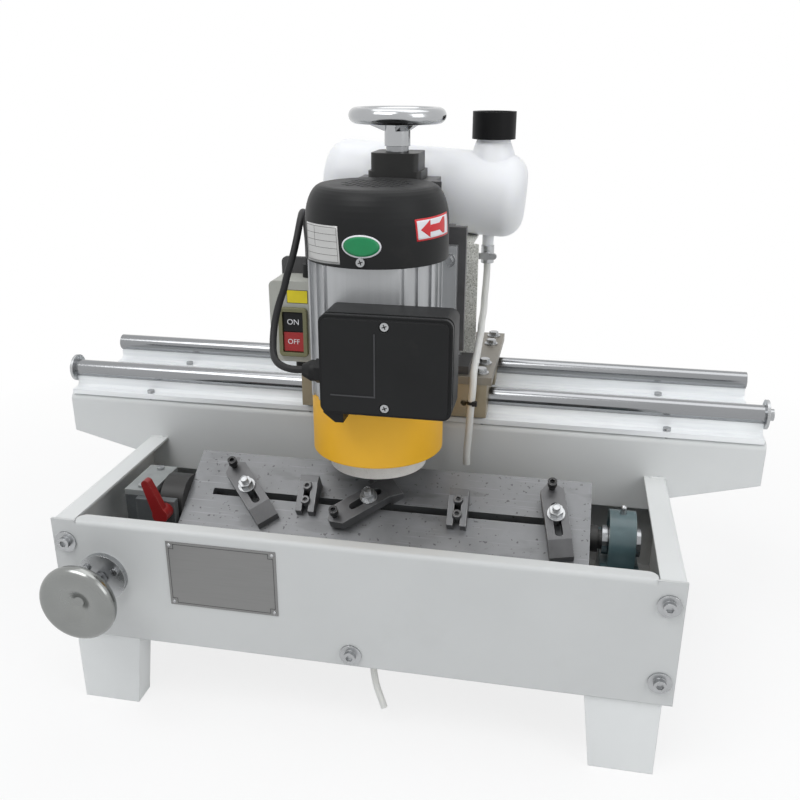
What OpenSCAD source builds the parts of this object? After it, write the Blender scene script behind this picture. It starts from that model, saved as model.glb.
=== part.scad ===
// Planer knife grinder: a tray on four legs holds a tilting knife table.
// A grinding head slides along two rails behind it and is raised by a screw.
// Millimetres, +Z up, +X to the operator's right, +Y to the back, standing on Z = 0.

/* [Tray] */
// Room between each end of the table and the tray's side
table_room = 90; // [86:1:120]
// Height of the tray's top edge above the floor
tray_top = 215; // [205:1:225]
// Depth of the tray's bottom
tray_d = 250; // [236:1:262]
// Height of the legs
leg_h = 84; // [70:1:95]
// Thickness of the folded sheet
sheet = 3; // [2:0.5:4]
// Width of the side walls' top flanges
wall_flange = 24; // [20:1:28]
// Depth of the front panel's top flange
panel_flange = 15; // [12:1:20]
// Outer radius of the folds in the sheet
fold_r = 5; // [4.5:0.5:8]

/* [Legs] */
// Width of a leg at its top
leg_top_w = 71; // [50:1:90]
// Width of a leg at the floor
leg_foot_w = 61; // [40:1:80]
// Depth of a leg
leg_d = 25; // [20:1:40]
// Distance from the tray's side to the leg
leg_inset = 9; // [4:1:20]

/* [Beam] */
// Overhang of the rear beam past each end of the rails
beam_end = 3; // [3:1:20]
// Depth of the rear beam
beam_d = 172; // [165:1:200]
// Distance from the front panel to the beam's front face
beam_y = 216; // [212:1:218]
// Height of the beam's top above the floor
beam_top = 263; // [255:1:270]
// Height of the beam's ends
beam_end_h = 48; // [40:1:60]
// Height of the beam where the tray's walls meet it
beam_wall_h = 73; // [65:1:78]
// Height of the beam's front inside the tray
beam_skirt_h = 88; // [80:1:95]
// Outer bend radius of the beam's top edges
beam_bend = 8; // [6:1:12]

/* [Rails] */
// Length of the round rails
rail_len = 800; // [780:1:860]
// Diameter of the round rails
shaft_d = 20; // [16:1:22]
// Distance from the front panel to the front rail's axis
rail_y = 236; // [236:1:240]
// Distance between the two rails' axes
rail_pitch = 113; // [105:1:125]
// Height of a rail's axis above the beam
shaft_h = 27; // [26:1:32]
// Width of a rail support's base
rail_base_w = 40; // [40:1:45]
// Thickness of a rail support's base
rail_base_t = 6; // [5:0.5:8]
// Diameter of the washers that stop the carriage
stop_d = 32; // [28:1:40]

/* [Carriage] */
// Overhang of the carriage plate past the blocks' ends
plate_end = 5; // [2:1:12]
// Overhang of the carriage plate past the blocks' sides
plate_side = 2.5; // [1:0.5:3]
// Thickness of the carriage plate
plate_t = 9; // [8:0.5:12]
// Length of a linear bearing block
block_len = 50; // [45:1:52]
// Width of a linear bearing block
block_w = 60; // [54:1:62]
// Height of a block's top above the rail's axis
block_rise = 23; // [20:1:26]
// Depth of a block's bottom below the rail's axis
block_drop = 16; // [14:1:16]
// Distance between the blocks on one rail
block_pitch = 160; // [140:1:165]

/* [Column] */
// Height of the column above the carriage plate
column_h = 205; // [195:1:220]
// Width of the column's dovetail
dovetail_w = 100; // [90:1:104]
// Width of the column behind its dovetail
column_w = 84; // [76:1:88]
// Depth of the dovetail
dovetail_t = 14; // [10:1:16]
// Depth of the whole column
column_d = 50; // [46:1:54]
// Height of the screw housing on top of the column
housing_h = 27; // [22:1:32]
// Width of the screw housing
housing_w = 50; // [44:1:60]

/* [Lift] */
// Diameter of the lift screw
screw_d = 16; // [14:1:18]
// Diameter of the lift handwheel
lift_wheel_d = 101; // [98:1:110]
// Diameter of the lift handwheel's rim
lift_rim_d = 16; // [12:1:17]
// Width of the saddle plate
saddle_w = 156; // [150:1:160]
// Height of the saddle plate
saddle_h = 132; // [120:1:135]
// Thickness of the saddle plate
saddle_t = 9; // [8:0.5:10]
// Height of the saddle's lower edge above the floor
saddle_z = 351; // [349:1:356]

/* [Motor] */
// Distance from the front panel to the motor's axis
motor_y = 132; // [128:1:134]
// Distance from the motor's axis to its foot
foot_h = 71; // [70:0.5:74]
// Diameter of the motor's body
body_d = 134; // [128:1:138]
// Height of the motor body's lower end above the floor
body_z = 328; // [322:1:332]
// Length of the motor's body
body_len = 137; // [131:1:141]
// Diameter of the fan cover
cover_d = 138; // [137:1:144]
// Height of the fan cover
cover_h = 68; // [62:1:72]
// Diameter of the motor's shaft
spindle_d = 17; // [14:1:19]

/* [Wheel] */
// Diameter of the cup wheel
wheel_d = 100; // [90:1:110]
// Height of the cup wheel
wheel_h = 42; // [36:1:44]
// Height of the cup wheel's face above the floor
wheel_z = 248.5; // [248.5:0.5:256]
// Width of the cup wheel's rim
wheel_rim = 14; // [10:1:18]
// Diameter of the wheel guard
guard_d = 134; // [126:1:137]
// Height of the wheel guard
guard_h = 60; // [52:1:64]

/* [Terminal box] */
// Width of the terminal box
term_w = 120.5; // [104:0.5:124]
// Height of the terminal box
term_h = 93; // [82:1:98]
// Depth of the terminal box with its cover
term_d = 47; // [42:1:52]
// Depth of the terminal box's cover
term_cover_d = 12; // [9:1:14]

/* [Switch] */
// Width of the switch box
switch_w = 47; // [44:1:50]
// Height of the switch box
switch_h = 88; // [84:1:94]
// Depth of the switch box
switch_d = 40; // [36:1:42]
// Side of the square push buttons
button_w = 21; // [18:0.5:21.5]
// Travel of the push buttons
button_travel = 3; // [2:0.5:4]

/* [Tank] */
// Diameter of the coolant tank
tank_d = 92; // [84:1:96]
// Length of the coolant tank
tank_len = 229; // [210:1:240]
// Wall of the coolant tank
tank_wall = 2; // [1.5:0.5:3]
// Slope of the tank down to its outlet in degrees
tank_tilt = 4; // [0:0.5:6]
// Outer diameter of the tank's neck
neck_d = 38; // [34:1:42]
// Diameter of the tank's cap
cap_d = 48; // [46:1:54]
// Height of the tank's cap
cap_h = 29; // [24:1:32]

/* [Table] */
// Length of the knife table
table_len = 430; // [410:1:460]
// Width of the knife table
table_w = 112; // [106:1:116]
// Thickness of the knife table
table_t = 28; // [26:1:30]
// Tilt of the knife table in degrees
table_tilt = 33; // [28:1:38]
// Distance from the front panel to the table's tilting axis
trunnion_y = 116; // [113:1:119]
// Height of the table's tilting axis above the floor
trunnion_z = 187; // [185:1:190]
// Width of the clamping slot
slot_w = 8; // [7:0.5:10]

/* [Tilt gear] */
// Gap between the table's boss and the gearbox
gear_gap = 5; // [4:1:8]
// Axial module of the worm gear
gear_module = 1.25; // [1.2:0.05:1.3]
// Teeth on the worm wheel
gear_teeth = 36; // [34:1:37]
// Pitch radius of the worm
worm_r = 8; // [7.5:0.1:8.5]
// Diameter of the tilt handwheel
tilt_wheel_d = 78; // [70:1:84]
// Distance from the front panel to the tilt handwheel's front
tilt_reach = 58; // [52:1:64]

/* [Clamps] */
// Length of a clamp strap
strap_len = 82; // [76:1:86]
// Width of a clamp strap
strap_w = 24; // [22:1:26]
// Thickness of a clamp strap
strap_t = 12; // [10:0.5:14]
// Width of a knife stop
stop_block_w = 20; // [18:1:22]
// Length of a knife stop
stop_block_l = 38; // [34:1:42]
// Height of a knife stop
stop_block_h = 20; // [18:1:22]

/* [Hidden] */
$fn = 48;

// Overrun of every cut past the face that it opens
over = 1;
// Radial clearance of a running fit
fit = 0.05;
// Gap between flat faces that slide past each other
slide_gap = 0.15;
// Gap in the seams between the welded plates of the beam
seam = 0.02;
// Gap between pieces that move past each other
clear = 0.4;
// Radial clearance of a bolt in its hole
bolt_gap = 0.25;
// Width and depth of a socket as shares of its screw head
socket_w_share = 0.6;
socket_h_share = 0.6;

// Middle of the whole machine from front to back
mid_y = (beam_y + beam_d - tilt_reach) / 2;
tray_w = table_len + 2 * table_room;
beam_len = rail_len + 2 * beam_end;
plate_w = block_pitch + block_len + 2 * plate_end;
plate_d = rail_pitch + block_w + 2 * plate_side;
rail_z = beam_top + shaft_h;
rail_ys = [rail_y, rail_y + rail_pitch];
plate_z = rail_z + block_rise;
plate_top = plate_z + plate_t;
foot_y = motor_y + foot_h;
dovetail_y = foot_y + saddle_t + slide_gap;
cover_z = body_z + body_len;
column_top = plate_top + column_h;
housing_top = column_top + housing_h;

// Tray details
panel_notch = 2;
panel_flange_r = 9;
bolt_flange = 28;
panel_bolt_inset = 14;
panel_bolt_drop = 24;
panel_bolt_rise = 25;
middle_bolt_rise = 13;
panel_bolt_d = 8;
panel_bolt_len = 14;
panel_head_d = 12;
panel_head_h = 5;
panel_washer_d = 22;
panel_washer_t = 2;
drain_x = 18;
drain_y = 22;
drain_bore = 5;
drain_d = 7;
drain_len = 4;
stand_sheet = 6;

// Nameplate
name_w = 112;
name_h = 71;
name_t = 0.8;
name_x = -128;
name_drop = 12;

// Rail details
rail_web_w = 10;
rail_web_foot_w = 18;
rail_web_foot_t = 3;
rail_screw_shares = [-0.375, -0.125, 0.125, 0.375];
rail_screw_d = 5;
rail_head_d = 8.5;
rail_head_h = 3.5;
rail_screw_edge = 5.5;
stop_t = 3;
stop_screw_d = 8;
stop_screw_len = 20;
stop_head_d = 13;
stop_head_h = 6;

// Carriage details
block_mouth = 15;
block_bolt_pitch = 35;
bolt_d = 6;
bolt_depth = 12;
bolt_head_d = 11.5;
bolt_head_h = 4.5;
washer_d = 16;
washer_t = 1.6;
block_hole_d = 7;
block_hole_deep = 10;

// Column and lift details
channel_w = 40;
web_t = 12;
flange_w = 168;
flange_h = 9;
flange_front = 1.5;
screw_back = 29;
screw_y = foot_y + screw_back;
pivot_d = 10;
journal_d = 12;
collar_d = 24;
collar_h = 6;
screw_end_gap = 2;
nut_w = 34;
nut_d = 34;
nut_h = 40;
nut_share = 0.35;
gib_w = 14;
gib_t = 12;
housing_r = 6;
housing_flare = 3;
housing_flare_h = 9;
hub_d = 27;
hub_h = 24;
hub_web = 9;
spoke_w = 13;
spoke_count = 3;
spoke_turn = 60;
rim_rise = 6;

// Switch bracket, part of the saddle
bracket_t = 4;
bracket_rise = 18;
bracket_inset = 2;
bracket_r = 6;

// Motor details
flat_share = 0.9;
front_half = 34;
side_share = 0.90;
shoulder = 29;
neck_start = 20;
rib_w = 3.2;
rib_h = 2.2;
rib_shares = [0.12, 0.52, 0.92];
side_rib_shares = [-0.5, 0.35];
pad_t = 11;
pad_w = 140;
pad_neck_w = 96;
pad_rise = 30;
bore_d = 112;
end_wall = 8;
stator_inset = 21;
rotor_d = 60;
air_gap = 0.6;
pad_bolt_x = 61;
pad_bolt_inset = 14;
cover_t = 2.5;
cover_crown_h = 36;
cover_flat_share = 0.76;
cover_lap = 8;
cover_screw_rise = 6.5;
grille_w = 7;
grille_h = 3;
grille_pitch = 10.5;
grille_row = 6;
grille_share = 0.62;
fan_d = 112;
fan_t = 2.5;
fan_h = 24;
fan_hub_d = 30;
fan_gap = 5;
blade_count = 9;
shaft_top_gap = 12;
screw_head_d = 8;
screw_head_h = 3;
screw_len = 10;
small_screw_d = 4;

// Wheel details
guard_t = 2.5;
guard_hole_share = 0.55;
wheel_web = 12;
wheel_flange_d = 44;
wheel_flange_t = 8;
wheel_nut_d = 30;
wheel_nut_h = 10;
shaft_tail = 4;

// Terminal box details
term_x = 29;
term_z = 385.2;
term_wall = 3;
term_r = 8;
term_bevel = 3;
term_screw_inset = 8.5;
term_recess = 4;
term_recess_d = 9.5;
term_groove = 1.5;
term_groove_d = 4;
term_foot_w = 19;
term_foot_h = 12.5;
term_foot_slope = 9;
term_foot_d = 24;
gland_d = 20;
gland_nut_d = 24;
gland_nut_len = 9;
gland_len = 22;
gland_taper = 8;
gland_tip_d = 12;
gland_y = 50;
gland_z = 371;

// Switch details
switch_x = -102.5;
switch_y = 170;
switch_z = 338;
switch_r = 6;
rim_x = -100;
rim_w = 31;
rim_h = 53;
rim_t = 4;
rim_d = 4;
rim_rise_z = 7;
button_deep = 14;
button_gap = 0.6;
button_split = 2.5;
switch_gland_d = 14;
switch_gland_len = 14;
switch_gland_x = -89;
switch_gland_y = 196;
mains_gland_x = -98;
mains_gland_y = 190;
mains_gland_len = 11;

// Tank details
tank_x = 16;
tank_y = 318;
tank_z = 508;
tank_end_r = 24;
neck_inset = 38.5;
neck_rise = 34;
neck_wall = 3;
neck_flare = 9;
neck_flare_h = 24;
cap_wall = 4;
cap_recess = 5;
cap_lip = 4;
outlet_inset = 40.5;
outlet_d = 13;
outlet_len = 14;
bracket_w = 170;
bracket_sheet = 3;
lip_h = 40;
valve_d = 15;
valve_h = 20;
valve_boss_d = 9;
valve_boss_len = 6;
tap_d = 9;
tap_t = 3;
tap_wing = 12;
tap_wing_h = 7;

// Table details
table_x = 8;
table_rise = 16;
slot_back = 51;
slot_left = 27;
slot_right = 27;
tee_w = 15;
tee_h = 7;
tee_deep = 10;
boss_d = 58;
boss_len = 26;
trunnion_d = 25;
stub_d = 20;
stub_short = 3;
collar_stub_d = 27;
collar_stub_len = 8;

// Gearbox details
gear_w = 10;
tooth_gap = 0.42;
addendum_share = 0.9;
root_share = 1.15;
worm_turns = 6;
worm_steps = 20;
thread_sink = 0.3;
sector_half = 44;
sector_turn = 2;
gear_hub_d = 31;
worm_bore_d = 12;
box_w = 32;
box_d = 63;
box_top = 210;
lid_t = 6;
box_wall = 6;
ear_w = 28;
ear_d = 9;
ear_h = 30;
ear_top = 204;
lever_out = 18;
lever_z = 194;
flange_d = 50;
flange_t = 6;
flange_screw_share = 0.36;
lid_screw_share = 0.36;
lever_hub_d = 17;
lever_hub_len = 15;
lever_stud_d = 8;
lever_arm = 42;
lever_arm_w = 14;
lever_tip_w = 9;
lever_arm_t = 9;
lever_lean = 20;

// Pillow block details
pillow_room = 12;
pillow_h = 33.3;
pillow_base_l = 127;
pillow_base_w = 38;
pillow_base_t = 13;
pillow_bolt_pitch = 95;
pillow_w = 26;
pillow_d = 63;
bearing_d = 47;
bearing_w = 18;
race_d = 29;
race_len = 38;
pillow_bolt_d = 10;
pillow_head_d = 19;
pillow_head_h = 7;
nipple_d = 6;
nipple_h = 6;
nipple_hole = 4;

// Clamp details
clamp_shares = [-0.3856, -0.032];
clamp_end = 8;
clamp_angles = [-48, 40, -79];
clamp_shifts = [0, -10, 0];
strap_back = 38;
strap_lift = 6;
strap_slot_l = 34;
strap_slot_back = 9;
strap_nose = 16;
strap_tail = 10;
strap_tip_share = 0.3;
jack_back = 30;
jack_d = 6;
jack_head_d = 9.5;
jack_head_h = 7;
jack_top = 31.5;
stud_d = 7.2;
stud_top = 32;
clamp_nut_d = 14.5;
clamp_nut_h = 7;
clamp_flange_d = 18;
clamp_flange_h = 2;
stop_shares = [-0.21, 0.2154];
stop_slot_w = 7;
stop_front_h = 9;
stop_flat = 9;
stop_screw_vs_share = [0.26, 0.63];
stop_cap_d = 9;
stop_cap_h = 6;
stop_cap_seat = 6;
stop_shank_d = 5;

// Tilt handwheel details
tilt_rim_d = 16;
tilt_pit_d = 10;
tilt_back = 16;
tilt_back_d = 24;
dish_steps = 10;
dish_power = 2.2;
tilt_web = 4;
tilt_dish = 9;
tilt_hub_d = 20;
tilt_hub_len = 22;
hex_d = 15;
hex_gap = 1;

// Places along the table, from its left end to its right end
table_left = table_x - table_len / 2;
table_right = table_x + table_len / 2;
slot_len = table_len - slot_left - slot_right;
slot_mid = (table_left + slot_left + table_right - slot_right) / 2;
worm_x = boss_len + gear_gap + box_w / 2 - table_left;
lever_x = lever_out + box_w / 2 - worm_x;
pillow_x = table_right + pillow_room + pillow_base_w / 2;
stub_len = pillow_x + race_len / 2 - stub_short - table_right;
clamp_us = [
  slot_mid + clamp_shares[0] * slot_len, slot_mid + clamp_shares[1] * slot_len,
  table_right - slot_right - clamp_end
];
stop_us = [for (s = stop_shares) slot_mid + s * slot_len];

// Places along the tilted tank
neck_x = tank_x + tank_len / 2 - neck_inset;
outlet_x = tank_x + tank_len / 2 - outlet_inset;
neck_base = tank_z - (neck_x - tank_x) * sin(tank_tilt);
neck_top = neck_base + tank_d / 2 + neck_rise;
outlet_z = tank_z - (outlet_x - tank_x) * sin(tank_tilt) - tank_d / 2;
valve_top = outlet_z - outlet_len + tank_wall;

// Cords
cable_d = 7;
hose_d = 8;
drain_hose_d = 7;
cord_sides = 8;
cable_path = [
  [term_x - term_w / 2 - gland_len, gland_y, gland_z], [-64.5, 50, 371], [-75, 54, 372], [-83, 60.5, 374.5],
  [-88.5, 69.5, 379], [-91.5, 78, 385.5], [-93, 85, 394], [-93, 90.5, 403.5], [-91.5, 94.5, 414],
  [-89, 97.5, 424], [-85.5, 99.5, 434.5], [-83, 101.5, 445.5], [-80, 103.5, 456], [-77.5, 107, 466],
  [-76, 112, 476], [-75.5, 118.5, 485], [-76, 126.5, 492.5], [-77.5, 136.5, 497.5], [-79.5, 147, 500],
  [-81.5, 158, 500], [-83.5, 168.5, 496.5], [-85.5, 177.5, 490.5], [-87, 185, 482], [-88, 190.5, 472.5],
  [-88.5, 194, 462], [switch_gland_x, switch_gland_y, 451],
  [switch_gland_x, switch_gland_y, switch_z + switch_h + switch_gland_len]
];

// Routes of the two hoses, from the valve's end and from the drain's end
hose_route = [
  [0, 0, 0], [0, 0, -11], [0, -6, -25], [0, -16, -38], [1, -32, -49], [1, -50, -58], [2, -68, -65],
  [2, -86, -72], [2, -104, -81], [1, -118, -94], [1, -125, -111], [0, -127, -129], [-1, -127, -149],
  [-2, -127, -169], [-3, -127, -185], [-3, -127, -201]
];
drain_route = [
  [0, 0, 0], [0, 0, -6], [0, 0, -13], [1, 0, -22], [3, -1, -32], [6, -2, -41], [9, -3, -49], [11.5, -4, -56]
];
hose_path = [for (p = hose_route) [outlet_x, tank_y, valve_top - valve_h] + p];
drain_path = [for (p = drain_route) [drain_x, drain_y, leg_h - drain_len] + p];

// Moves the machine's own measures, taken from the front panel, to the origin
module place() translate([0, -mid_y, 0]) children();

// Sections drawn in the YZ plane and run along X about the middle
module along_x(len) rotate([90, 0, 90]) translate([0, 0, -len / 2]) linear_extrude(len) children();

// Sections drawn in the XZ plane and run back from y
module along_y(y, len) translate([0, y + len, 0]) rotate([90, 0, 0]) linear_extrude(len) children();

// A rod along X from x, or along Y from y
module rod_x(x, len, d) translate([x, 0, 0]) rotate([0, 90, 0]) cylinder(h = len, d = d);
module rod_y(y, len, d) translate([0, y + len, 0]) rotate([90, 0, 0]) cylinder(h = len, d = d);

// A block by its low corner and size
module block(low, size) translate(low) cube(size);

// Left and right copies
module both_sides() {
  children();
  mirror([1, 0, 0]) children();
}

// A sheet folded once: one leg along +x, one leg down, outer radius r
module fold(w, h, t, r) {
  translate([r, -t]) square([w - r, t]);
  translate([0, -h]) square([t, h - r]);
  translate([r, -r]) intersection() {
    difference() {
      circle(r);
      circle(r - t);
    }
    translate([-r, 0]) square(r);
  }
}

// A flat-bottomed outline with its two upper corners rounded, hanging down from y = 0
module arch(w, h, r) {
  translate([r, -h]) square([w - 2 * r, h]);
  translate([0, -h]) square([w, h - r]);
  for (x = [r, w - r]) translate([x, -r]) circle(r);
}

// A rectangle about the origin with round corners
module round_rect(w, h, r) {
  square([w - 2 * r, h], center = true);
  square([w, h - 2 * r], center = true);
  for (x = [-1, 1], y = [-1, 1]) translate([x * (w / 2 - r), y * (h / 2 - r)]) circle(r);
}

// A hexagon head or nut of a given width across corners
module hex(h, d) cylinder(h = h, d = d, $fn = 6);

// A round screw head with a hexagon socket, standing on the origin
module socket_head(h, d) difference() {
  cylinder(h = h, d = d);
  translate([0, 0, h - h * socket_h_share]) hex(h, d * socket_w_share);
}

// A tube swept along points, with rings square to the route
function unit(v) = v / norm(v);
function heading(p, i) = unit(p[min(i + 1, len(p) - 1)] - p[max(i - 1, 0)]);
function ring(p, i, d, side) =
  let (t = heading(p, i), a = unit(cross(t, side)), b = cross(t, a))
  [for (k = [0 : cord_sides - 1]) let (q = 360 * k / cord_sides) p[i] + d / 2 * (cos(q) * a + sin(q) * b)];
module tube(p, d, side) {
  n = cord_sides;
  last = (len(p) - 1) * n;
  points = [for (i = [0 : len(p) - 1]) each ring(p, i, d, side)];
  walls = [for (i = [0 : len(p) - 2], k = [0 : n - 1])
    let (a = i * n + k, b = i * n + (k + 1) % n) each [[a, a + n, b], [b, a + n, b + n]]];
  starts = [for (k = [1 : n - 2]) [0, k, k + 1]];
  ends = [for (k = [1 : n - 2]) [last, last + k + 1, last + k]];
  polyhedron(points = points, faces = concat(walls, starts, ends));
}

// Places of the five bolts that hold the front panel
panel_bolts = [
  for (s = [-1, 1]) [s * (tray_w / 2 - panel_bolt_inset), tray_top - panel_bolt_drop],
  for (s = [-1, 1]) [s * (tray_w / 2 - panel_bolt_inset), leg_h + panel_bolt_rise],
  [0, leg_h + middle_bolt_rise]
];
gear_r = gear_module * gear_teeth / 2;
worm_z = trunnion_z - gear_r - worm_r;
module at_panel_bolts() for (p = panel_bolts) translate([p[0], 0, p[1]]) children();
module at_worm() translate([-worm_x, 0, worm_z]) children();
module at_trunnion() translate([0, trunnion_y, trunnion_z]) children();

module front_panel() {
  flange_len = tray_w - 2 * wall_flange - panel_notch;
  color("whitesmoke") place() difference() {
    union() {
      along_x(flange_len) translate([0, tray_top])
        fold(panel_flange, tray_top - leg_h, sheet, fold_r);
      both_sides()
        block([flange_len / 2 - over, 0, leg_h],
              [tray_w / 2 - flange_len / 2 + over, sheet, tray_top - leg_h]);
    }
    both_sides() translate([flange_len / 2 - panel_flange_r, panel_flange - panel_flange_r,
                            tray_top - 2 * sheet])
      difference() {
        cube([panel_flange_r + over, panel_flange_r + over, 3 * sheet]);
        translate([0, 0, -over]) cylinder(h = 3 * sheet + 2 * over, r = panel_flange_r);
      }
    at_panel_bolts() rod_y(-over, sheet + 2 * over, panel_bolt_d + 2 * bolt_gap);
    at_worm() rod_y(-over, sheet + 2 * over, worm_bore_d + 2 * over);
  }
}

module side_walls() {
  wall_h = tray_top - leg_h;
  color("whitesmoke") place() both_sides() difference() {
    union() {
      along_y(sheet, beam_y - sheet) translate([tray_w / 2, tray_top]) mirror([1, 0])
        fold(wall_flange, wall_h, sheet, fold_r);
      block([tray_w / 2 - sheet, beam_y - over, leg_h],
            [sheet, tray_d - beam_y + over, beam_top - beam_skirt_h - leg_h]);
      block([tray_w / 2 - bolt_flange, sheet, leg_h + sheet],
            [bolt_flange - over, sheet, wall_h - 2 * sheet - fold_r]);
    }
    at_panel_bolts() rod_y(0, 3 * sheet, panel_bolt_d + 2 * bolt_gap);
  }
}

module tray() {
  inner_w = tray_w - 2 * sheet;
  stand_h = trunnion_z - pillow_h - leg_h - sheet;
  color("gainsboro") place() difference() {
    union() {
      block([-inner_w / 2, sheet, leg_h], [inner_w, tray_d - sheet, sheet]);
      block([-inner_w / 2, tray_d - sheet, leg_h], [inner_w, sheet, beam_top - sheet - leg_h]);
      block([-bolt_flange / 2, sheet, leg_h], [bolt_flange, sheet, bolt_flange]);
      translate([drain_x, drain_y, leg_h - drain_len]) cylinder(h = drain_len + sheet, d = drain_d);
      translate([pillow_x, trunnion_y, leg_h + sheet]) difference() {
        block([-pillow_base_w / 2, -pillow_base_l / 2, 0], [pillow_base_w, pillow_base_l, stand_h]);
        block([-pillow_base_w, stand_sheet - pillow_base_l / 2, -over],
              [2 * pillow_base_w, pillow_base_l - 2 * stand_sheet, stand_h - stand_sheet + over]);
      }
    }
    translate([drain_x, drain_y, leg_h - drain_len - over])
      cylinder(h = drain_len + sheet + 2 * over, d = drain_bore);
    at_panel_bolts() rod_y(0, 3 * sheet, panel_bolt_d + 2 * bolt_gap);
    for (s = [-1, 1])
      translate([pillow_x, trunnion_y + s * pillow_bolt_pitch / 2, trunnion_z - pillow_h - 2 * stand_sheet])
        cylinder(h = 3 * stand_sheet, d = pillow_bolt_d + 2 * bolt_gap);
  }
}

// The beam: its folded top, the two skirts welded below the bends, and the end plates
module rear_beam() {
  half = beam_len / 2;
  low = beam_top - beam_skirt_h;
  bend_z = beam_top - beam_bend - seam;
  inner = sheet + seam;
  corner = beam_bend + seam;
  skirt = [
    [half, bend_z], [half, beam_top - beam_end_h], [tray_w / 2, beam_top - beam_wall_h],
    [tray_w / 2, low], [-tray_w / 2, low], [-tray_w / 2, beam_top - beam_wall_h],
    [-half, beam_top - beam_end_h], [-half, bend_z]
  ];
  end_plate = [
    [inner, -beam_end_h], [beam_d - inner, -beam_end_h], [beam_d - inner, -corner],
    [beam_d - corner, -corner], [beam_d - corner, -inner], [corner, -inner],
    [corner, -corner], [inner, -corner]
  ];
  color("whitesmoke") place() difference() {
    along_x(beam_len) translate([beam_y, beam_top]) intersection() {
      difference() {
        arch(beam_d, beam_skirt_h, beam_bend);
        translate([sheet, -sheet]) arch(beam_d - 2 * sheet, beam_skirt_h, beam_bend - sheet);
      }
      translate([0, -beam_bend]) square([beam_d, beam_bend]);
    }
    at_rail_screws() translate([0, 0, beam_top - 2 * sheet])
      cylinder(h = 3 * sheet, d = rail_screw_d + 2 * bolt_gap);
  }
  color("whitesmoke") place() for (y = [beam_y, beam_y + beam_d - sheet])
    along_y(y, sheet) polygon(skirt);
  color("whitesmoke") place() both_sides() translate([half - sheet / 2, 0, 0])
    along_x(sheet) translate([beam_y, beam_top]) polygon(end_plate);
}

// One leg: a tapered front plate with two flanges and a turned-in foot
module leg() {
  out = tray_w / 2 - leg_inset;
  face = [[out, leg_h], [out - leg_top_w, leg_h], [out - leg_foot_w, 0], [out, 0]];
  core = [[out - sheet, leg_h + over], [out - leg_top_w + sheet, leg_h + over],
          [out - leg_foot_w + sheet, sheet], [out - sheet, sheet]];
  difference() {
    along_y(0, leg_d) polygon(face);
    along_y(sheet, leg_d) polygon(core);
  }
}

module legs() {
  color("whitesmoke") place() both_sides() {
    translate([0, sheet, 0]) leg();
    translate([0, tray_d - sheet, 0]) mirror([0, 1, 0]) leg();
  }
}

module at_rail_screws() {
  reach = rail_base_w / 2 - rail_screw_edge;
  for (y = rail_ys, x = rail_screw_shares, s = [-1, 1])
    translate([x * rail_len, y + s * reach, 0]) children();
}

module rail_supports() {
  base = rail_base_w / 2;
  outline = [
    [-base, 0], [base, 0], [base, rail_base_t], [rail_web_foot_w / 2, rail_base_t],
    [rail_web_w / 2, rail_base_t + rail_web_foot_t], [rail_web_w / 2, shaft_h], [-rail_web_w / 2, shaft_h],
    [-rail_web_w / 2, rail_base_t + rail_web_foot_t], [-rail_web_foot_w / 2, rail_base_t],
    [-base, rail_base_t]
  ];
  color("silver") place() difference() {
    for (y = rail_ys) along_x(rail_len) translate([y, beam_top]) difference() {
      polygon(outline);
      translate([0, shaft_h]) circle(d = shaft_d);
    }
    at_rail_screws() translate([0, 0, beam_top - over])
      cylinder(h = rail_base_t + 2 * over, d = rail_screw_d + 2 * bolt_gap);
  }
}

module rail_shafts() {
  color("lightgray") place() difference() {
    for (y = rail_ys) translate([0, y, rail_z]) rod_x(-rail_len / 2, rail_len, shaft_d);
    both_sides() translate([0, rail_y, rail_z])
      rod_x(rail_len / 2 - stop_screw_len, stop_screw_len + over, stop_screw_d);
  }
}

module rail_screws() {
  color("silver") place() {
    at_rail_screws() translate([0, 0, beam_top + rail_base_t]) {
      cylinder(h = rail_head_h, d = rail_head_d);
      translate([0, 0, -rail_base_t - sheet]) cylinder(h = rail_base_t + sheet, d = rail_screw_d);
    }
    both_sides() translate([rail_len / 2, rail_y, rail_z]) {
      difference() {
        rod_x(0, stop_t, stop_d);
        rod_x(-over, stop_t + 2 * over, stop_screw_d + 2 * bolt_gap);
      }
      translate([stop_t, 0, 0]) rotate([0, 90, 0]) socket_head(stop_head_h, stop_head_d);
      rod_x(stop_t - stop_screw_len, stop_screw_len, stop_screw_d);
    }
  }
}

module frame_bolts() {
  color("silver") place() {
    at_panel_bolts() {
      difference() {
        rod_y(-panel_washer_t, panel_washer_t, panel_washer_d);
        rod_y(-panel_washer_t - over, panel_washer_t + 2 * over, panel_bolt_d + 2 * bolt_gap);
      }
      translate([0, -panel_washer_t, 0]) rotate([90, 0, 0]) socket_head(panel_head_h, panel_head_d);
      rod_y(-panel_washer_t, panel_bolt_len, panel_bolt_d);
    }
    at_flange_screws() {
      rod_y(-flange_t - screw_head_h, screw_head_h, screw_head_d);
      rod_y(-flange_t, flange_t, small_screw_d);
    }
    at_lid_screws() translate([0, 0, box_top]) {
      cylinder(h = screw_head_h, d = screw_head_d);
      translate([0, 0, -screw_len]) cylinder(h = screw_len, d = small_screw_d);
    }
    translate([pillow_x, trunnion_y, trunnion_z + pillow_d / 2 - nipple_hole]) {
      cylinder(h = nipple_hole + nipple_h, d = nipple_d);
      translate([0, 0, nipple_hole + nipple_h]) sphere(d = nipple_d);
    }
    for (s = [-1, 1])
      translate([pillow_x, trunnion_y + s * pillow_bolt_pitch / 2, trunnion_z - pillow_h + pillow_base_t]) {
        hex(pillow_head_h, pillow_head_d);
        translate([0, 0, -pillow_base_t - stand_sheet])
          cylinder(h = pillow_base_t + stand_sheet, d = pillow_bolt_d);
      }
  }
}

module nameplate() {
  color("gray") place()
    block([name_x - name_w / 2, -name_t, tray_top - name_drop - name_h], [name_w, name_t, name_h]);
}

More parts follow.
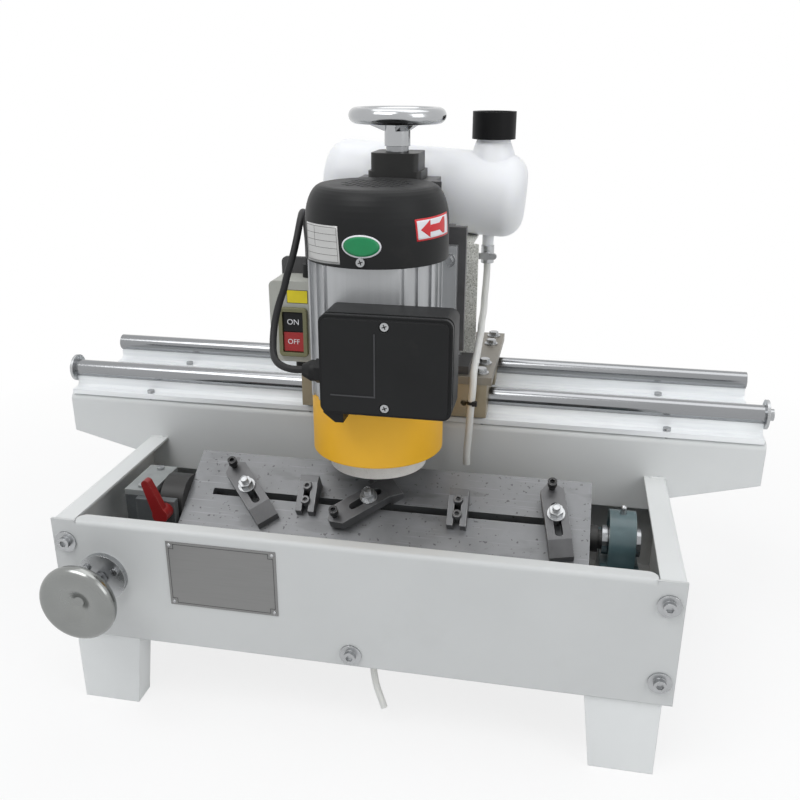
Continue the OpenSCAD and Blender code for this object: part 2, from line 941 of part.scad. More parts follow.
module at_flange_screws()
  for (a = [90, 210, 330]) at_worm() rotate([0, a, 0])
    translate([flange_d * flange_screw_share, 0, 0]) children();

module worm_flange() {
  color("silver") place() difference() {
    at_worm() rod_y(-flange_t, flange_t + sheet, worm_bore_d + 2 * over);
    at_worm() rod_y(-flange_t - over, 2 * flange_t + sheet, worm_bore_d + 2 * fit);
  }
  color("silver") place() difference() {
    at_worm() rod_y(-flange_t, flange_t, flange_d);
    at_worm() rod_y(-flange_t - over, flange_t + 2 * over, worm_bore_d + 2 * over);
    at_flange_screws() rod_y(-flange_t - over, flange_t + 2 * over, small_screw_d + 2 * bolt_gap);
  }
}

module at_lid_screws()
  for (s = [-1, 1]) translate([-worm_x, trunnion_y + s * box_d * lid_screw_share, 0]) children();

module gearbox_body() {
  low = leg_h + sheet;
  top = box_top - lid_t;
  room = box_w - 2 * box_wall;
  color("dimgray") place() difference() {
    union() {
      block([-worm_x - box_w / 2, trunnion_y - box_d / 2, low], [box_w, box_d, top - low]);
      block([-worm_x + box_w / 2 - over, trunnion_y - box_d / 2 - ear_d + over, ear_top - ear_h],
            [ear_w + over, ear_d, ear_h]);
      block([-worm_x, trunnion_y - box_d / 2 - ear_d + over, ear_top - ear_h], [box_w / 2, ear_d, ear_h]);
    }
    block([-worm_x - room / 2, trunnion_y - box_d / 2 + box_wall, worm_z - room / 2],
          [room, box_d - 2 * box_wall, top - worm_z + room]);
    at_worm() rod_y(0, trunnion_y + box_d, worm_bore_d + 2 * fit);
    at_trunnion() rod_x(-worm_x - box_w, 2 * box_w, trunnion_d + 2 * fit);
    at_lid_screws() translate([0, 0, box_top - screw_len])
      cylinder(h = screw_len, d = small_screw_d + 2 * bolt_gap);
    translate([lever_x, 0, lever_z])
      rod_y(trunnion_y - box_d, box_d, lever_stud_d + 2 * fit);
  }
}

module gearbox_lid() {
  color("slategray") place() difference() {
    block([-worm_x - box_w / 2, trunnion_y - box_d / 2, box_top - lid_t], [box_w, box_d, lid_t]);
    at_lid_screws() translate([0, 0, box_top - screw_len - over])
      cylinder(h = screw_len + 2 * over, d = small_screw_d + 2 * bolt_gap);
  }
}

module pillow_block() {
  color("darkslategray") place() translate([pillow_x, 0, 0]) at_trunnion() difference() {
    union() {
      rod_x(-pillow_w / 2, pillow_w, pillow_d);
      block([-pillow_w / 2, -pillow_d / 2, -pillow_h], [pillow_w, pillow_d, pillow_h]);
      block([-pillow_base_w / 2, -pillow_base_l / 2, -pillow_h],
            [pillow_base_w, pillow_base_l, pillow_base_t]);
    }
    rod_x(-pillow_base_w, 2 * pillow_base_w, bearing_d);
    for (s = [-1, 1]) translate([0, s * pillow_bolt_pitch / 2, -pillow_h - over])
      cylinder(h = pillow_base_t + 2 * over, d = pillow_bolt_d + 2 * bolt_gap);
    translate([0, 0, pillow_d / 2 - nipple_hole])
      cylinder(h = 2 * nipple_hole, d = nipple_d + 2 * bolt_gap);
  }
}

module pillow_bearing() {
  color("lightgray") place() translate([pillow_x, 0, 0]) at_trunnion() difference() {
    union() {
      rod_x(-bearing_w / 2, bearing_w, bearing_d);
      rod_x(-race_len / 2, race_len, race_d);
    }
    rod_x(-race_len, 2 * race_len, stub_d + 2 * fit);
  }
}

module drain_hose() color("white") place() tube(drain_path, drain_hose_d, [0, 1, 0]);

// Bolts of the bearing blocks: four go through the column's flange as well
block_bolt_inner = (block_pitch - block_bolt_pitch) / 2;
block_bolt_outer = (block_pitch + block_bolt_pitch) / 2;
module at_bolts(x, y)
  for (a = [-x, x], b = [-1, 1]) translate([a, y + b * block_bolt_pitch / 2, plate_top]) children();
module at_flange_bolts() at_bolts(block_bolt_inner, rail_y) children();
module at_plate_bolts() {
  at_bolts(block_bolt_outer, rail_y) children();
  at_bolts(block_bolt_inner, rail_y + rail_pitch) children();
  at_bolts(block_bolt_outer, rail_y + rail_pitch) children();
}
module at_block_bolts() {
  at_flange_bolts() children();
  at_plate_bolts() children();
}

module carriage_plate() {
  middle = rail_y + rail_pitch / 2;
  color("dimgray") place() difference() {
    block([-plate_w / 2, middle - plate_d / 2, plate_z], [plate_w, plate_d, plate_t]);
    at_block_bolts() translate([0, 0, -plate_t - over])
      cylinder(h = plate_t + 2 * over, d = bolt_d + 2 * bolt_gap);
  }
}

module bearing_blocks() {
  bore_len = block_pitch + block_len + 2 * over;
  color("tan") place() difference() {
    for (y = rail_ys, x = [-1, 1])
      block([x * block_pitch / 2 - block_len / 2, y - block_w / 2, rail_z - block_drop],
            [block_len, block_w, block_drop + block_rise]);
    for (y = rail_ys) {
      translate([0, y, rail_z]) rod_x(-bore_len / 2, bore_len, shaft_d + 2 * fit);
      block([-bore_len / 2, y - block_mouth / 2, rail_z - shaft_d], [bore_len, block_mouth, shaft_d]);
    }
    at_block_bolts() translate([0, 0, -plate_t - bolt_depth])
      cylinder(h = bolt_depth + over, d = bolt_d + 2 * bolt_gap);
    for (x = [-1, 1]) translate([x * block_pitch / 2, 0, rail_z])
      rod_y(rail_y - block_w / 2 - over, block_hole_deep + over, block_hole_d);
  }
}

// A hexagon bolt with its washer, head up, with the washer's seat at the origin
module washer_bolt(len) {
  difference() {
    cylinder(h = washer_t, d = washer_d);
    translate([0, 0, -over]) cylinder(h = washer_t + 2 * over, d = bolt_d + 2 * bolt_gap);
  }
  translate([0, 0, washer_t]) hex(bolt_head_h, bolt_head_d);
  translate([0, 0, -len]) cylinder(h = len + washer_t, d = bolt_d);
}

module carriage_bolts() {
  color("silver") place() {
    at_plate_bolts() washer_bolt(plate_t + bolt_depth);
    at_flange_bolts() translate([0, 0, flange_h]) washer_bolt(flange_h + plate_t + bolt_depth);
  }
}

module column() {
  half = channel_w / 2;
  back = column_d - web_t;
  section = [
    [half, 0], [dovetail_w / 2, 0], [column_w / 2, dovetail_t], [column_w / 2, column_d],
    [-column_w / 2, column_d], [-column_w / 2, dovetail_t], [-dovetail_w / 2, 0], [-half, 0],
    [-half, back], [half, back]
  ];
  color("#202020") place() difference() {
    union() {
      translate([0, dovetail_y, plate_top]) linear_extrude(column_h) polygon(section);
      block([-flange_w / 2, dovetail_y - flange_front, plate_top],
            [flange_w, column_d + flange_front, flange_h]);
    }
    translate([0, screw_y, plate_top + screw_end_gap]) cylinder(h = flange_h, d = pivot_d + 2 * fit);
    at_flange_bolts() translate([0, 0, -over]) cylinder(h = flange_h + 2 * over, d = bolt_d + 2 * bolt_gap);
  }
}

module screw_housing() {
  color("#202020") place() translate([0, dovetail_y + column_d / 2, column_top]) difference() {
    union() {
      linear_extrude(housing_h) round_rect(housing_w, column_d, housing_r);
      linear_extrude(housing_flare_h) round_rect(housing_w + 2 * housing_flare, column_d, housing_r);
    }
    translate([0, screw_y - dovetail_y - column_d / 2, -over])
      cylinder(h = housing_h + 2 * over, d = journal_d + 2 * fit);
  }
}

module at_tank() translate([tank_x, tank_y, tank_z]) rotate([0, tank_tilt, 0]) children();

module tank_bracket() {
  plate_y = dovetail_y + column_d;
  shelf_y = plate_y + bracket_sheet / 2;
  shelf_d = tank_y + tank_d / 2 + clear + bracket_sheet - shelf_y;
  shelf_w = bracket_w - 2 * bracket_sheet;
  low = -tank_d / 2 - clear - bracket_sheet;
  color("gray") place() {
    difference() {
      block([-bracket_w / 2, plate_y, plate_top], [bracket_w, bracket_sheet, tank_z - plate_top]);
      at_tank() block([-tank_len, -tank_d, low + bracket_sheet / 2], [2 * tank_len, 2 * tank_d, tank_d]);
    }
    at_tank() translate([-tank_x, 0, 0]) {
      block([-shelf_w / 2, shelf_y - tank_y, low], [shelf_w, shelf_d, bracket_sheet]);
      block([-shelf_w / 2, shelf_y - tank_y + shelf_d - bracket_sheet, low],
            [shelf_w, bracket_sheet, lip_h]);
    }
  }
}

// The tank's body about its own axis, shrunk by an inset
module tank_body(inset) {
  r = tank_d / 2 - inset;
  half = tank_len / 2 - inset;
  end_r = tank_end_r - inset;
  rotate([0, 90, 0]) rotate_extrude() {
    translate([0, end_r - half]) square([r, 2 * (half - end_r)]);
    translate([0, -half]) square([r - end_r, 2 * half]);
    for (s = [-1, 1]) translate([r - end_r, s * (half - end_r)]) intersection() {
      circle(end_r);
      translate([0, -end_r]) square([end_r, 2 * end_r]);
    }
  }
}

module tank() {
  color("white", 0.85) place() difference() {
    union() {
      at_tank() tank_body(0);
      translate([neck_x, tank_y, neck_base]) cylinder(h = neck_top - neck_base, d = neck_d);
      translate([neck_x, tank_y, neck_base + tank_d / 2 - neck_flare_h / 2])
        cylinder(h = neck_flare_h, d1 = neck_d + 2 * neck_flare, d2 = neck_d);
      translate([outlet_x, tank_y, outlet_z - outlet_len + tank_wall])
        cylinder(h = outlet_len + tank_wall, d = outlet_d);
    }
    at_tank() tank_body(tank_wall);
    translate([neck_x, tank_y, neck_base]) cylinder(h = neck_top, d = neck_d - 2 * neck_wall);
    translate([outlet_x, tank_y, outlet_z - outlet_len])
      cylinder(h = 2 * outlet_len, d = outlet_d - 2 * neck_wall);
  }
}

module tank_cap() {
  color("#151515") place()
    translate([neck_x, tank_y, neck_top + clear + cap_wall - cap_h + cap_recess]) difference() {
    cylinder(h = cap_h, d = cap_d);
    translate([0, 0, -over]) cylinder(h = cap_h - cap_recess - cap_wall + over, d = neck_d + 2 * clear);
    translate([0, 0, cap_h - cap_recess]) cylinder(h = cap_recess + over, d = cap_d - 2 * cap_lip);
  }
}

module at_tap() translate([outlet_x, tank_y - valve_d / 2 - valve_boss_len, valve_top - valve_h / 2])
  children();

module valve_body() {
  color("silver") place() difference() {
    union() {
      translate([outlet_x, tank_y, valve_top - valve_h]) cylinder(h = valve_h, d = valve_d);
      at_tap() rod_y(0, valve_boss_len + valve_d / 2, valve_boss_d);
    }
    translate([outlet_x, tank_y, valve_top - valve_h / 2])
      cylinder(h = valve_h, d = outlet_d - 2 * neck_wall);
  }
}

module valve_tap() {
  color("lightgray") place() at_tap() translate([0, -slide_gap, 0]) {
    rod_y(-tap_t, tap_t, tap_d);
    along_y(-tap_t, tap_t) both_sides() {
      translate([0, -tap_wing_h / 2]) square([tap_wing - tap_wing_h / 2, tap_wing_h]);
      translate([tap_wing - tap_wing_h / 2, 0]) circle(d = tap_wing_h);
    }
  }
}

module coolant_hose() color("white") place() tube(hose_path, hose_d, [1, 0, 0]);

module at_pad_bolts()
  for (x = [-1, 1], z = [pad_bolt_inset + pad_rise, body_len - pad_bolt_inset])
    translate([x * pad_bolt_x, foot_y - pad_t, body_z + z]) rotate([90, 0, 0]) children();

module saddle() {
  half = saddle_w / 2;
  gib_in = column_w / 2 + slide_gap;
  flank = (dovetail_w - column_w) / 2 * gib_t / dovetail_t;
  gib = [[dovetail_w / 2 + slide_gap, 0], [dovetail_w / 2 + gib_w, 0], [dovetail_w / 2 + gib_w, gib_t],
         [dovetail_w / 2 + slide_gap - flank, gib_t]];
  arm_left = switch_x - switch_w / 2 + bracket_inset;
  arm_top = switch_z + switch_h + bracket_rise;
  color("#202020") place() difference() {
    union() {
      block([-half, foot_y, saddle_z], [saddle_w, saddle_t, saddle_h]);
      translate([0, foot_y + saddle_t, saddle_z]) linear_extrude(saddle_h) both_sides() polygon(gib);
      along_y(switch_y + switch_d, bracket_t) {
        translate([(arm_left - half) / 2, (saddle_z + arm_top) / 2])
          round_rect(-half - arm_left, arm_top - saddle_z, bracket_r);
        translate([(arm_left - half) / 2, saddle_z])
          square([gib_w - half - (arm_left - half) / 2, arm_top - saddle_z]);
      }
    }
    at_pad_bolts() translate([0, 0, -pad_t - saddle_t])
      cylinder(h = saddle_t + over, d = bolt_d + 2 * bolt_gap);
  }
}

module lift_nut() {
  low = saddle_z + saddle_h * nut_share;
  color("goldenrod") place() difference() {
    block([-nut_w / 2, foot_y + saddle_t, low], [nut_w, nut_d, nut_h]);
    translate([0, screw_y, low - over]) cylinder(h = nut_h + 2 * over, d = screw_d + 2 * fit);
  }
}

// The motor's extruded section: a flat front, ribbed slanting sides and two pads behind
module motor_section() {
  front = body_d / 2 * flat_share;
  side = body_d / 2 * side_share;
  half = [
    [0, -front], [front_half, -front], [side, -shoulder], [side, neck_start],
    [pad_neck_w / 2, foot_h - pad_t],
    [pad_w / 2, foot_h - pad_t], [pad_w / 2, foot_h], [0, foot_h]
  ];
  slant = [side - front_half, front - shoulder];
  both_sides() {
    polygon(half);
    for (s = rib_shares) translate([front_half, -front] + s * slant) rotate(atan2(slant[1], slant[0]))
      translate([-rib_w / 2, -rib_h]) square([rib_w, 2 * rib_h]);
    for (s = side_rib_shares) translate([side - rib_h, s * shoulder - rib_w / 2])
      square([2 * rib_h, rib_w]);
  }
}

module motor_body() {
  color("silver") place() translate([0, motor_y, body_z]) difference() {
    union() {
      linear_extrude(body_len) intersection() {
        motor_section();
        circle(cover_d / 2);
      }
      translate([0, 0, pad_rise]) linear_extrude(body_len - pad_rise) motor_section();
    }
    translate([0, 0, end_wall]) cylinder(h = body_len - 2 * end_wall, d = bore_d);
    translate([0, 0, -over]) cylinder(h = body_len + 2 * over, d = spindle_d + 2 * fit);
    translate([0, -motor_y, -body_z]) at_pad_bolts() translate([0, 0, -pad_t - over])
      cylinder(h = pad_t + 2 * over, d = bolt_d + 2 * bolt_gap);
  }
}

module stator() {
  color("saddlebrown") place() translate([0, motor_y, body_z + stator_inset]) difference() {
    cylinder(h = body_len - 2 * stator_inset, d = bore_d);
    translate([0, 0, -over]) cylinder(h = body_len, d = rotor_d + 2 * air_gap);
  }
}

module fan_cover() {
  r = cover_d / 2;
  flat_r = r * cover_flat_share;
  side = cover_h - cover_crown_h;
  function crown(t) = [for (a = [0 : 10 : 90]) [flat_r + (r - flat_r - t) * cos(a),
                                                side + (cover_crown_h - t) * sin(a)]];
  color("#1c1c1c") place() translate([0, motor_y, cover_z]) difference() {
    rotate_extrude() difference() {
      polygon(concat([[0, 0], [r, 0]], crown(0), [[0, cover_h]]));
      polygon(concat([[0, -over], [r - cover_t, -over]], crown(cover_t), [[0, cover_h - cover_t]]));
    }
    reach = flat_r * grille_share;
    rows = floor(reach / grille_row);
    columns = floor(reach / grille_pitch);
    for (i = [-rows : rows], k = [-columns : columns]) {
      x = k * grille_pitch + (i % 2) * grille_pitch / 2;
      if (norm([x, i * grille_row]) < reach)
        block([x - grille_w / 2, i * grille_row - grille_h / 2, cover_h - 2 * cover_t],
              [grille_w, grille_h, 3 * cover_t]);
    }
  }
  color("#1c1c1c") place() translate([0, motor_y, cover_z]) difference() {
    cylinder(h = cover_t, d = cover_d - 2 * cover_t);
    translate([0, 0, -over]) cylinder(h = cover_t + 2 * over, d = fan_d - 2 * cover_lap);
  }
}

term_y = motor_y - body_d / 2 * flat_share - term_d;

module at_term_screws()
  for (s = [-1, 1]) translate([term_x, term_y, term_z + s * (term_h / 2 - term_screw_inset)]) children();

module terminal_box() {
  back_y = term_y + term_cover_d;
  left = term_x - term_w / 2;
  low = term_z - term_h / 2;
  foot = [
    [left, low + term_r], [left, low - term_foot_h + term_foot_slope],
    [left + term_foot_w - term_r, low - term_foot_h],
    [left + term_foot_w, low - term_foot_h], [left + term_foot_w, low + term_r]
  ];
  color("#151515") place() difference() {
    union() {
      along_y(back_y, term_d - term_cover_d) translate([term_x, term_z]) round_rect(term_w, term_h, term_r);
      along_y(back_y, term_foot_d) polygon(foot);
    }
    along_y(back_y - over, term_d - term_cover_d - term_wall + over) translate([term_x, term_z])
      round_rect(term_w - 2 * term_wall, term_h - 2 * term_wall, term_r - term_wall);
    translate([0, gland_y, gland_z]) rod_x(term_x - term_w, term_w / 2 + 2 * term_wall, cable_d);
  }
}

module terminal_cover() {
  color("#101010") place() difference() {
    union() {
      along_y(term_y + term_bevel, term_cover_d - term_bevel - term_groove_d) translate([term_x, term_z])
        round_rect(term_w, term_h, term_r);
      along_y(term_y + term_cover_d - term_groove_d, term_groove_d) translate([term_x, term_z])
        round_rect(term_w - 2 * term_groove, term_h - 2 * term_groove, term_r - term_groove);
      along_y(term_y, term_bevel) translate([term_x, term_z])
        round_rect(term_w - 2 * term_bevel, term_h - 2 * term_bevel, term_r - term_bevel);
    }
    at_term_screws() {
      rod_y(-over, term_cover_d + 2 * over, small_screw_d + 2 * bolt_gap);
      rod_y(-over, term_recess + over, term_recess_d);
    }
  }
}

module motor_bolts() {
  color("silver") place() {
    at_pad_bolts() washer_bolt(pad_t + saddle_t);
    at_term_screws() {
      rod_y(term_recess - screw_head_h, screw_head_h, screw_head_d);
      rod_y(term_recess, term_cover_d - term_recess, small_screw_d);
    }
    for (a = [0, 120, 240]) translate([0, motor_y, cover_z + cover_screw_rise]) rotate([0, 0, a]) {
      rod_y(-cover_d / 2 - screw_head_h, screw_head_h, screw_head_d);
    }
  }
}

module wheel_guard() {
  color("orange") place() translate([0, motor_y, body_z - guard_h]) difference() {
    cylinder(h = guard_h, d = guard_d);
    translate([0, 0, -over]) cylinder(h = guard_h - guard_t + over, d = guard_d - 2 * guard_t);
    cylinder(h = guard_h + over, d = guard_d * guard_hole_share);
  }
}

rim_z = switch_z + rim_rise_z + rim_h / 2;
module switch_box() {
  pocket_w = rim_w - 2 * rim_t;
  pocket_h = rim_h - 2 * rim_t;
  color("darkseagreen") place() difference() {
    union() {
      along_y(switch_y, switch_d) translate([switch_x, switch_z + switch_h / 2])
        round_rect(switch_w, switch_h, switch_r);
      along_y(switch_y - rim_d, rim_d) translate([rim_x, rim_z]) round_rect(rim_w, rim_h, rim_t);
    }
    along_y(switch_y - rim_d - over, rim_d + button_deep + button_travel + over)
      translate([rim_x, rim_z]) square([pocket_w, pocket_h], center = true);
  }
}

// A push button, with its stem resting in the switch box
module button(z) {
  wide = rim_w - 2 * rim_t - 2 * button_gap;
  block([rim_x - wide / 2, switch_y - rim_d / 2, z - button_w / 2], [wide, button_deep - over, button_w]);
}
module on_button() color("#101010") place() button(rim_z + (button_w + button_gap) / 2);
module off_button() color("firebrick") place() button(rim_z - (button_w + button_gap) / 2);

module cable_glands() {
  color("#101010") place() {
    translate([0, gland_y, gland_z]) {
      rod_x(term_x - term_w / 2 - gland_len + gland_taper, gland_len - gland_taper, gland_d);
      translate([term_x - term_w / 2 - gland_len, 0, 0]) rotate([0, 90, 0])
        cylinder(h = gland_taper, d1 = gland_tip_d, d2 = gland_d);
      translate([term_x - term_w / 2 - gland_nut_len, 0, 0]) rotate([0, 90, 0])
        hex(gland_nut_len, gland_nut_d);
    }
    translate([switch_gland_x, switch_gland_y, switch_z + switch_h])
      cylinder(h = switch_gland_len, d = switch_gland_d);
    translate([mains_gland_x, mains_gland_y, switch_z - mains_gland_len])
      cylinder(h = mains_gland_len, d = switch_gland_d);
  }
}

module motor_cable() color("#101010") place() tube(cable_path, cable_d, [1, 1, -1]);

hub_z = housing_top + slide_gap + collar_h;
module lead_screw() {
  color("lightgray") place() translate([0, screw_y, 0]) {
    translate([0, 0, plate_top + screw_end_gap]) cylinder(h = column_h, d = pivot_d);
    translate([0, 0, plate_top + flange_h + slide_gap])
      cylinder(h = column_h - flange_h - 2 * slide_gap, d = screw_d);
    translate([0, 0, column_top - over]) cylinder(h = hub_z + hub_h - column_top + over, d = journal_d);
    translate([0, 0, housing_top + slide_gap]) cylinder(h = collar_h, d = collar_d);
  }
}

// A chromed handwheel with three raked spokes, standing on its hub
module lift_handwheel() {
  ring_r = (lift_wheel_d - lift_rim_d) / 2;
  rim_level = hub_h + rim_rise;
  spoke = [[0, hub_h - hub_web], [hub_d / 2, hub_h - hub_web], [ring_r, rim_level - lift_rim_d / 4],
           [ring_r, rim_level + lift_rim_d / 4], [hub_d / 2, hub_h], [0, hub_h]];
  color("gainsboro") place() translate([0, screw_y, hub_z]) difference() {
    union() {
      cylinder(h = hub_h, d = hub_d);
      translate([0, 0, rim_level]) rotate_extrude() translate([ring_r, 0]) circle(d = lift_rim_d);
      for (k = [0 : spoke_count - 1]) rotate([0, 0, 360 * k / spoke_count - spoke_turn])
        along_y(-spoke_w / 2, spoke_w) polygon(spoke);
    }
    translate([0, 0, -over]) cylinder(h = hub_h + 2 * over, d = journal_d);
  }
}

wheel_top = wheel_z + wheel_h;
module motor_shaft() {
  tail = wheel_top - wheel_web - wheel_nut_h - shaft_tail;
  color("lightgray") place() translate([0, motor_y, 0]) {
    translate([0, 0, tail]) cylinder(h = cover_z + cover_h - shaft_top_gap - tail, d = spindle_d);
    translate([0, 0, body_z + stator_inset]) cylinder(h = body_len - 2 * stator_inset, d = rotor_d);
    translate([0, 0, wheel_top]) cylinder(h = wheel_flange_t, d = wheel_flange_d);
    translate([0, 0, wheel_top - wheel_web - wheel_nut_h]) difference() {
      hex(wheel_nut_h, wheel_nut_d);
      translate([0, 0, -over]) cylinder(h = wheel_nut_h + 2 * over, d = spindle_d);
    }
  }
}

module cooling_fan() {
  color("#303030") place() translate([0, motor_y, cover_z + fan_gap]) difference() {
    union() {
      cylinder(h = fan_t, d = fan_d);
      cylinder(h = fan_h, d = fan_hub_d);
      for (k = [0 : blade_count - 1]) rotate([0, 0, 360 * k / blade_count])
        block([fan_hub_d / 2 - over, -fan_t / 2, 0], [(fan_d - fan_hub_d) / 2 - over, fan_t, fan_h]);
    }
    translate([0, 0, -over]) cylinder(h = fan_h + 2 * over, d = spindle_d);
  }
}

module grinding_wheel() {
  color("ivory") place() translate([0, motor_y, wheel_z]) difference() {
    cylinder(h = wheel_h, d = wheel_d);
    translate([0, 0, -over]) cylinder(h = wheel_h - wheel_web + over, d = wheel_d - 2 * wheel_rim);
    cylinder(h = wheel_h + over, d = spindle_d);
  }
}

// The table's own frame: X along it, Y up its slope, Z off its face, on the tilting axis
module on_table() at_trunnion() rotate([table_tilt, 0, 0]) children();

slot_v = table_w / 2 - slot_back;

module table() {
  slot_x = table_left + slot_left;
  color("dimgray") place() on_table() difference() {
    block([table_left, -table_w / 2, table_rise - table_t], [table_len, table_w, table_t]);
    block([slot_x, slot_v - slot_w / 2, table_rise - table_t - over],
          [slot_len, slot_w, table_t + 2 * over]);
    block([slot_x, slot_v - tee_w / 2, table_rise - table_t - over],
          [slot_len, tee_w, table_t - tee_deep + over]);
  }
}

module trunnions() {
  color("#2a2a2a") place() at_trunnion() {
    rod_x(table_left - boss_len, boss_len, boss_d);
    rod_x(-worm_x - box_w / 2 + over, table_left - boss_len + worm_x + box_w / 2 - over, trunnion_d);
    rod_x(table_right, stub_len, stub_d);
    rod_x(table_right, collar_stub_len, collar_stub_d);
  }
}

// Straight-sided teeth: half thickness at the pitch line, less the backlash
pitch = PI * gear_module;
half_tooth = pitch / 4 - tooth_gap / 2;
flank = tan(20);
add = addendum_share * gear_module;
root = root_share * gear_module;

module worm_wheel() {
  function place_at(r, w, a) = [r * sin(a) + w * cos(a), r * cos(a) - w * sin(a)];
  tip_w = half_tooth - add * flank;
  foot_w = half_tooth + root * flank;
  outline = [for (k = [0 : gear_teeth - 1]) let (a = 360 * k / gear_teeth)
    each [place_at(gear_r - root, -foot_w, a), place_at(gear_r + add, -tip_w, a),
          place_at(gear_r + add, tip_w, a), place_at(gear_r - root, foot_w, a)]];
  low = -sector_half - sector_turn;
  high = sector_half - sector_turn;
  far = 2 * gear_r;
  wedge = [[0, 0], [far * sin(low), -far * cos(low)], [0, -far], [far * sin(high), -far * cos(high)]];
  color("goldenrod") place() at_trunnion() difference() {
    translate([-worm_x, 0, 0]) along_x(gear_w) {
      circle(d = gear_hub_d);
      intersection() {
        polygon(outline);
        polygon(wedge);
      }
    }
    rod_x(-worm_x - gear_w, 2 * gear_w, trunnion_d);
  }
}

module worm_thread() {
  steps = worm_turns * worm_steps;
  tip_w = half_tooth - add * flank;
  foot_w = half_tooth + root * flank;
  section = [[worm_r - root - thread_sink, -foot_w], [worm_r + add, -tip_w], [worm_r + add, tip_w],
             [worm_r - root - thread_sink, foot_w]];
  n = len(section);
  points = [for (i = [0 : steps], s = section) let (a = 360 * i / worm_steps)
    [s[0] * sin(a), (i / worm_steps - worm_turns / 2) * pitch + s[1], s[0] * cos(a)]];
  walls = [for (i = [0 : steps - 1], k = [0 : n - 1])
    let (a = i * n + k, b = i * n + (k + 1) % n) each [[a, b, a + n], [b, b + n, a + n]]];
  polyhedron(points = points, faces = concat(walls, [[0, 2, 1], [0, 3, 2]],
    [[steps * n, steps * n + 1, steps * n + 2], [steps * n, steps * n + 2, steps * n + 3]]));
}

worm_front = tilt_dish + tilt_web - tilt_reach;
worm_back = trunnion_y + box_d / 2;
worm_core = (worm_turns + 2) * pitch;
hex_len = tilt_reach - tilt_dish - tilt_hub_len - flange_t - hex_gap;
module worm_shaft() {
  color("lightgray") place() at_worm() {
    rod_y(worm_front, worm_back - worm_front, worm_bore_d);
    translate([0, -flange_t - hex_gap, 0]) rotate([90, 0, 0]) hex(hex_len, hex_d);
    rod_y(trunnion_y - worm_core / 2, worm_core, 2 * (worm_r - root));
    translate([0, trunnion_y + pitch / 2, 0]) worm_thread();
  }
}

module tilt_handwheel() {
  rim = tilt_rim_d / 2;
  ring_r = tilt_wheel_d / 2 - rim;
  pit = tilt_pit_d / 2;
  dish = [for (i = [0 : dish_steps]) let (t = i / dish_steps)
    [pit + (ring_r - pit) * t, tilt_dish * pow(1 - t, dish_power)]];
  roll = [for (a = [-75 : 15 : 60]) [ring_r + rim * cos(a), rim + rim * sin(a)]];
  color("gainsboro") place() at_worm() translate([0, -tilt_reach, 0]) rotate([-90, 0, 0]) difference() {
    union() {
      rotate_extrude() polygon(concat([[0, tilt_dish]], dish, roll,
                                      [[tilt_back_d / 2, tilt_back], [0, tilt_back]]));
      translate([0, 0, tilt_dish + tilt_web]) cylinder(h = tilt_hub_len - tilt_web, d = tilt_hub_d);
    }
    translate([0, 0, tilt_dish + tilt_web]) cylinder(h = tilt_hub_len + over, d = worm_bore_d);
  }
}

module lock_lever() {
  face_y = trunnion_y - box_d / 2 - ear_d + over;
  color("firebrick") place() translate([lever_x, 0, lever_z]) {
    rod_y(face_y - slide_gap - lever_hub_len, lever_hub_len, lever_hub_d);
    rod_y(face_y - slide_gap - over, ear_d + over, lever_stud_d);
    rotate([0, -lever_lean, 0]) along_y(face_y - slide_gap - lever_hub_len, lever_arm_t) {
      polygon([[-lever_arm_w / 2, 0], [lever_arm_w / 2, 0], [lever_tip_w / 2, lever_arm - lever_tip_w / 2],
               [-lever_tip_w / 2, lever_arm - lever_tip_w / 2]]);
      translate([0, lever_arm - lever_tip_w / 2]) circle(d = lever_tip_w);
    }
  }
}

// Clamps stand on the table's face, turned about their bolt in the slot
module at_clamp(k) on_table() translate([clamp_us[k], slot_v, table_rise])
  rotate([0, 0, clamp_angles[k]]) children();

// A strap slides along its own slot before its nut is tightened
module at_strap(k) at_clamp(k) translate([clamp_shifts[k], 0, 0]) children();

module clamp_strap(k) {
  front = strap_len - strap_back;
  half = strap_w / 2;
  low = strap_lift;
  top = strap_lift + strap_t;
  plan = [[-strap_back, -half + strap_tail], [-strap_back + strap_tail, -half], [front, -half],
          [front, half],
          [-strap_back + strap_tail, half], [-strap_back, half - strap_tail]];
  side = [[-strap_back, low], [front - strap_nose, low], [front - strap_nose, 0], [front, 0],
          [front, low + strap_t * strap_tip_share], [front - strap_nose, top], [-strap_back, top]];
  color("#303030") place() at_strap(k) difference() {
    intersection() {
      linear_extrude(top) polygon(plan);
      along_y(-half, strap_w) polygon(side);
    }
    translate([0, 0, -over]) linear_extrude(top + 2 * over) {
      translate([-strap_slot_back, -slot_w / 2]) square([strap_slot_l - slot_w / 2, slot_w]);
      translate([-strap_slot_back, 0]) circle(d = slot_w);
      translate([strap_slot_l - strap_slot_back - slot_w / 2, 0]) circle(d = slot_w);
    }
    translate([-jack_back, 0, -over]) cylinder(h = top + 2 * over, d = jack_d + 2 * bolt_gap);
  }
  color("#202020") place() at_strap(k) translate([-jack_back, 0, 0]) {
    cylinder(h = jack_top - jack_head_h, d = jack_d);
    translate([0, 0, jack_top - jack_head_h]) socket_head(jack_head_h, jack_head_d);
  }
}

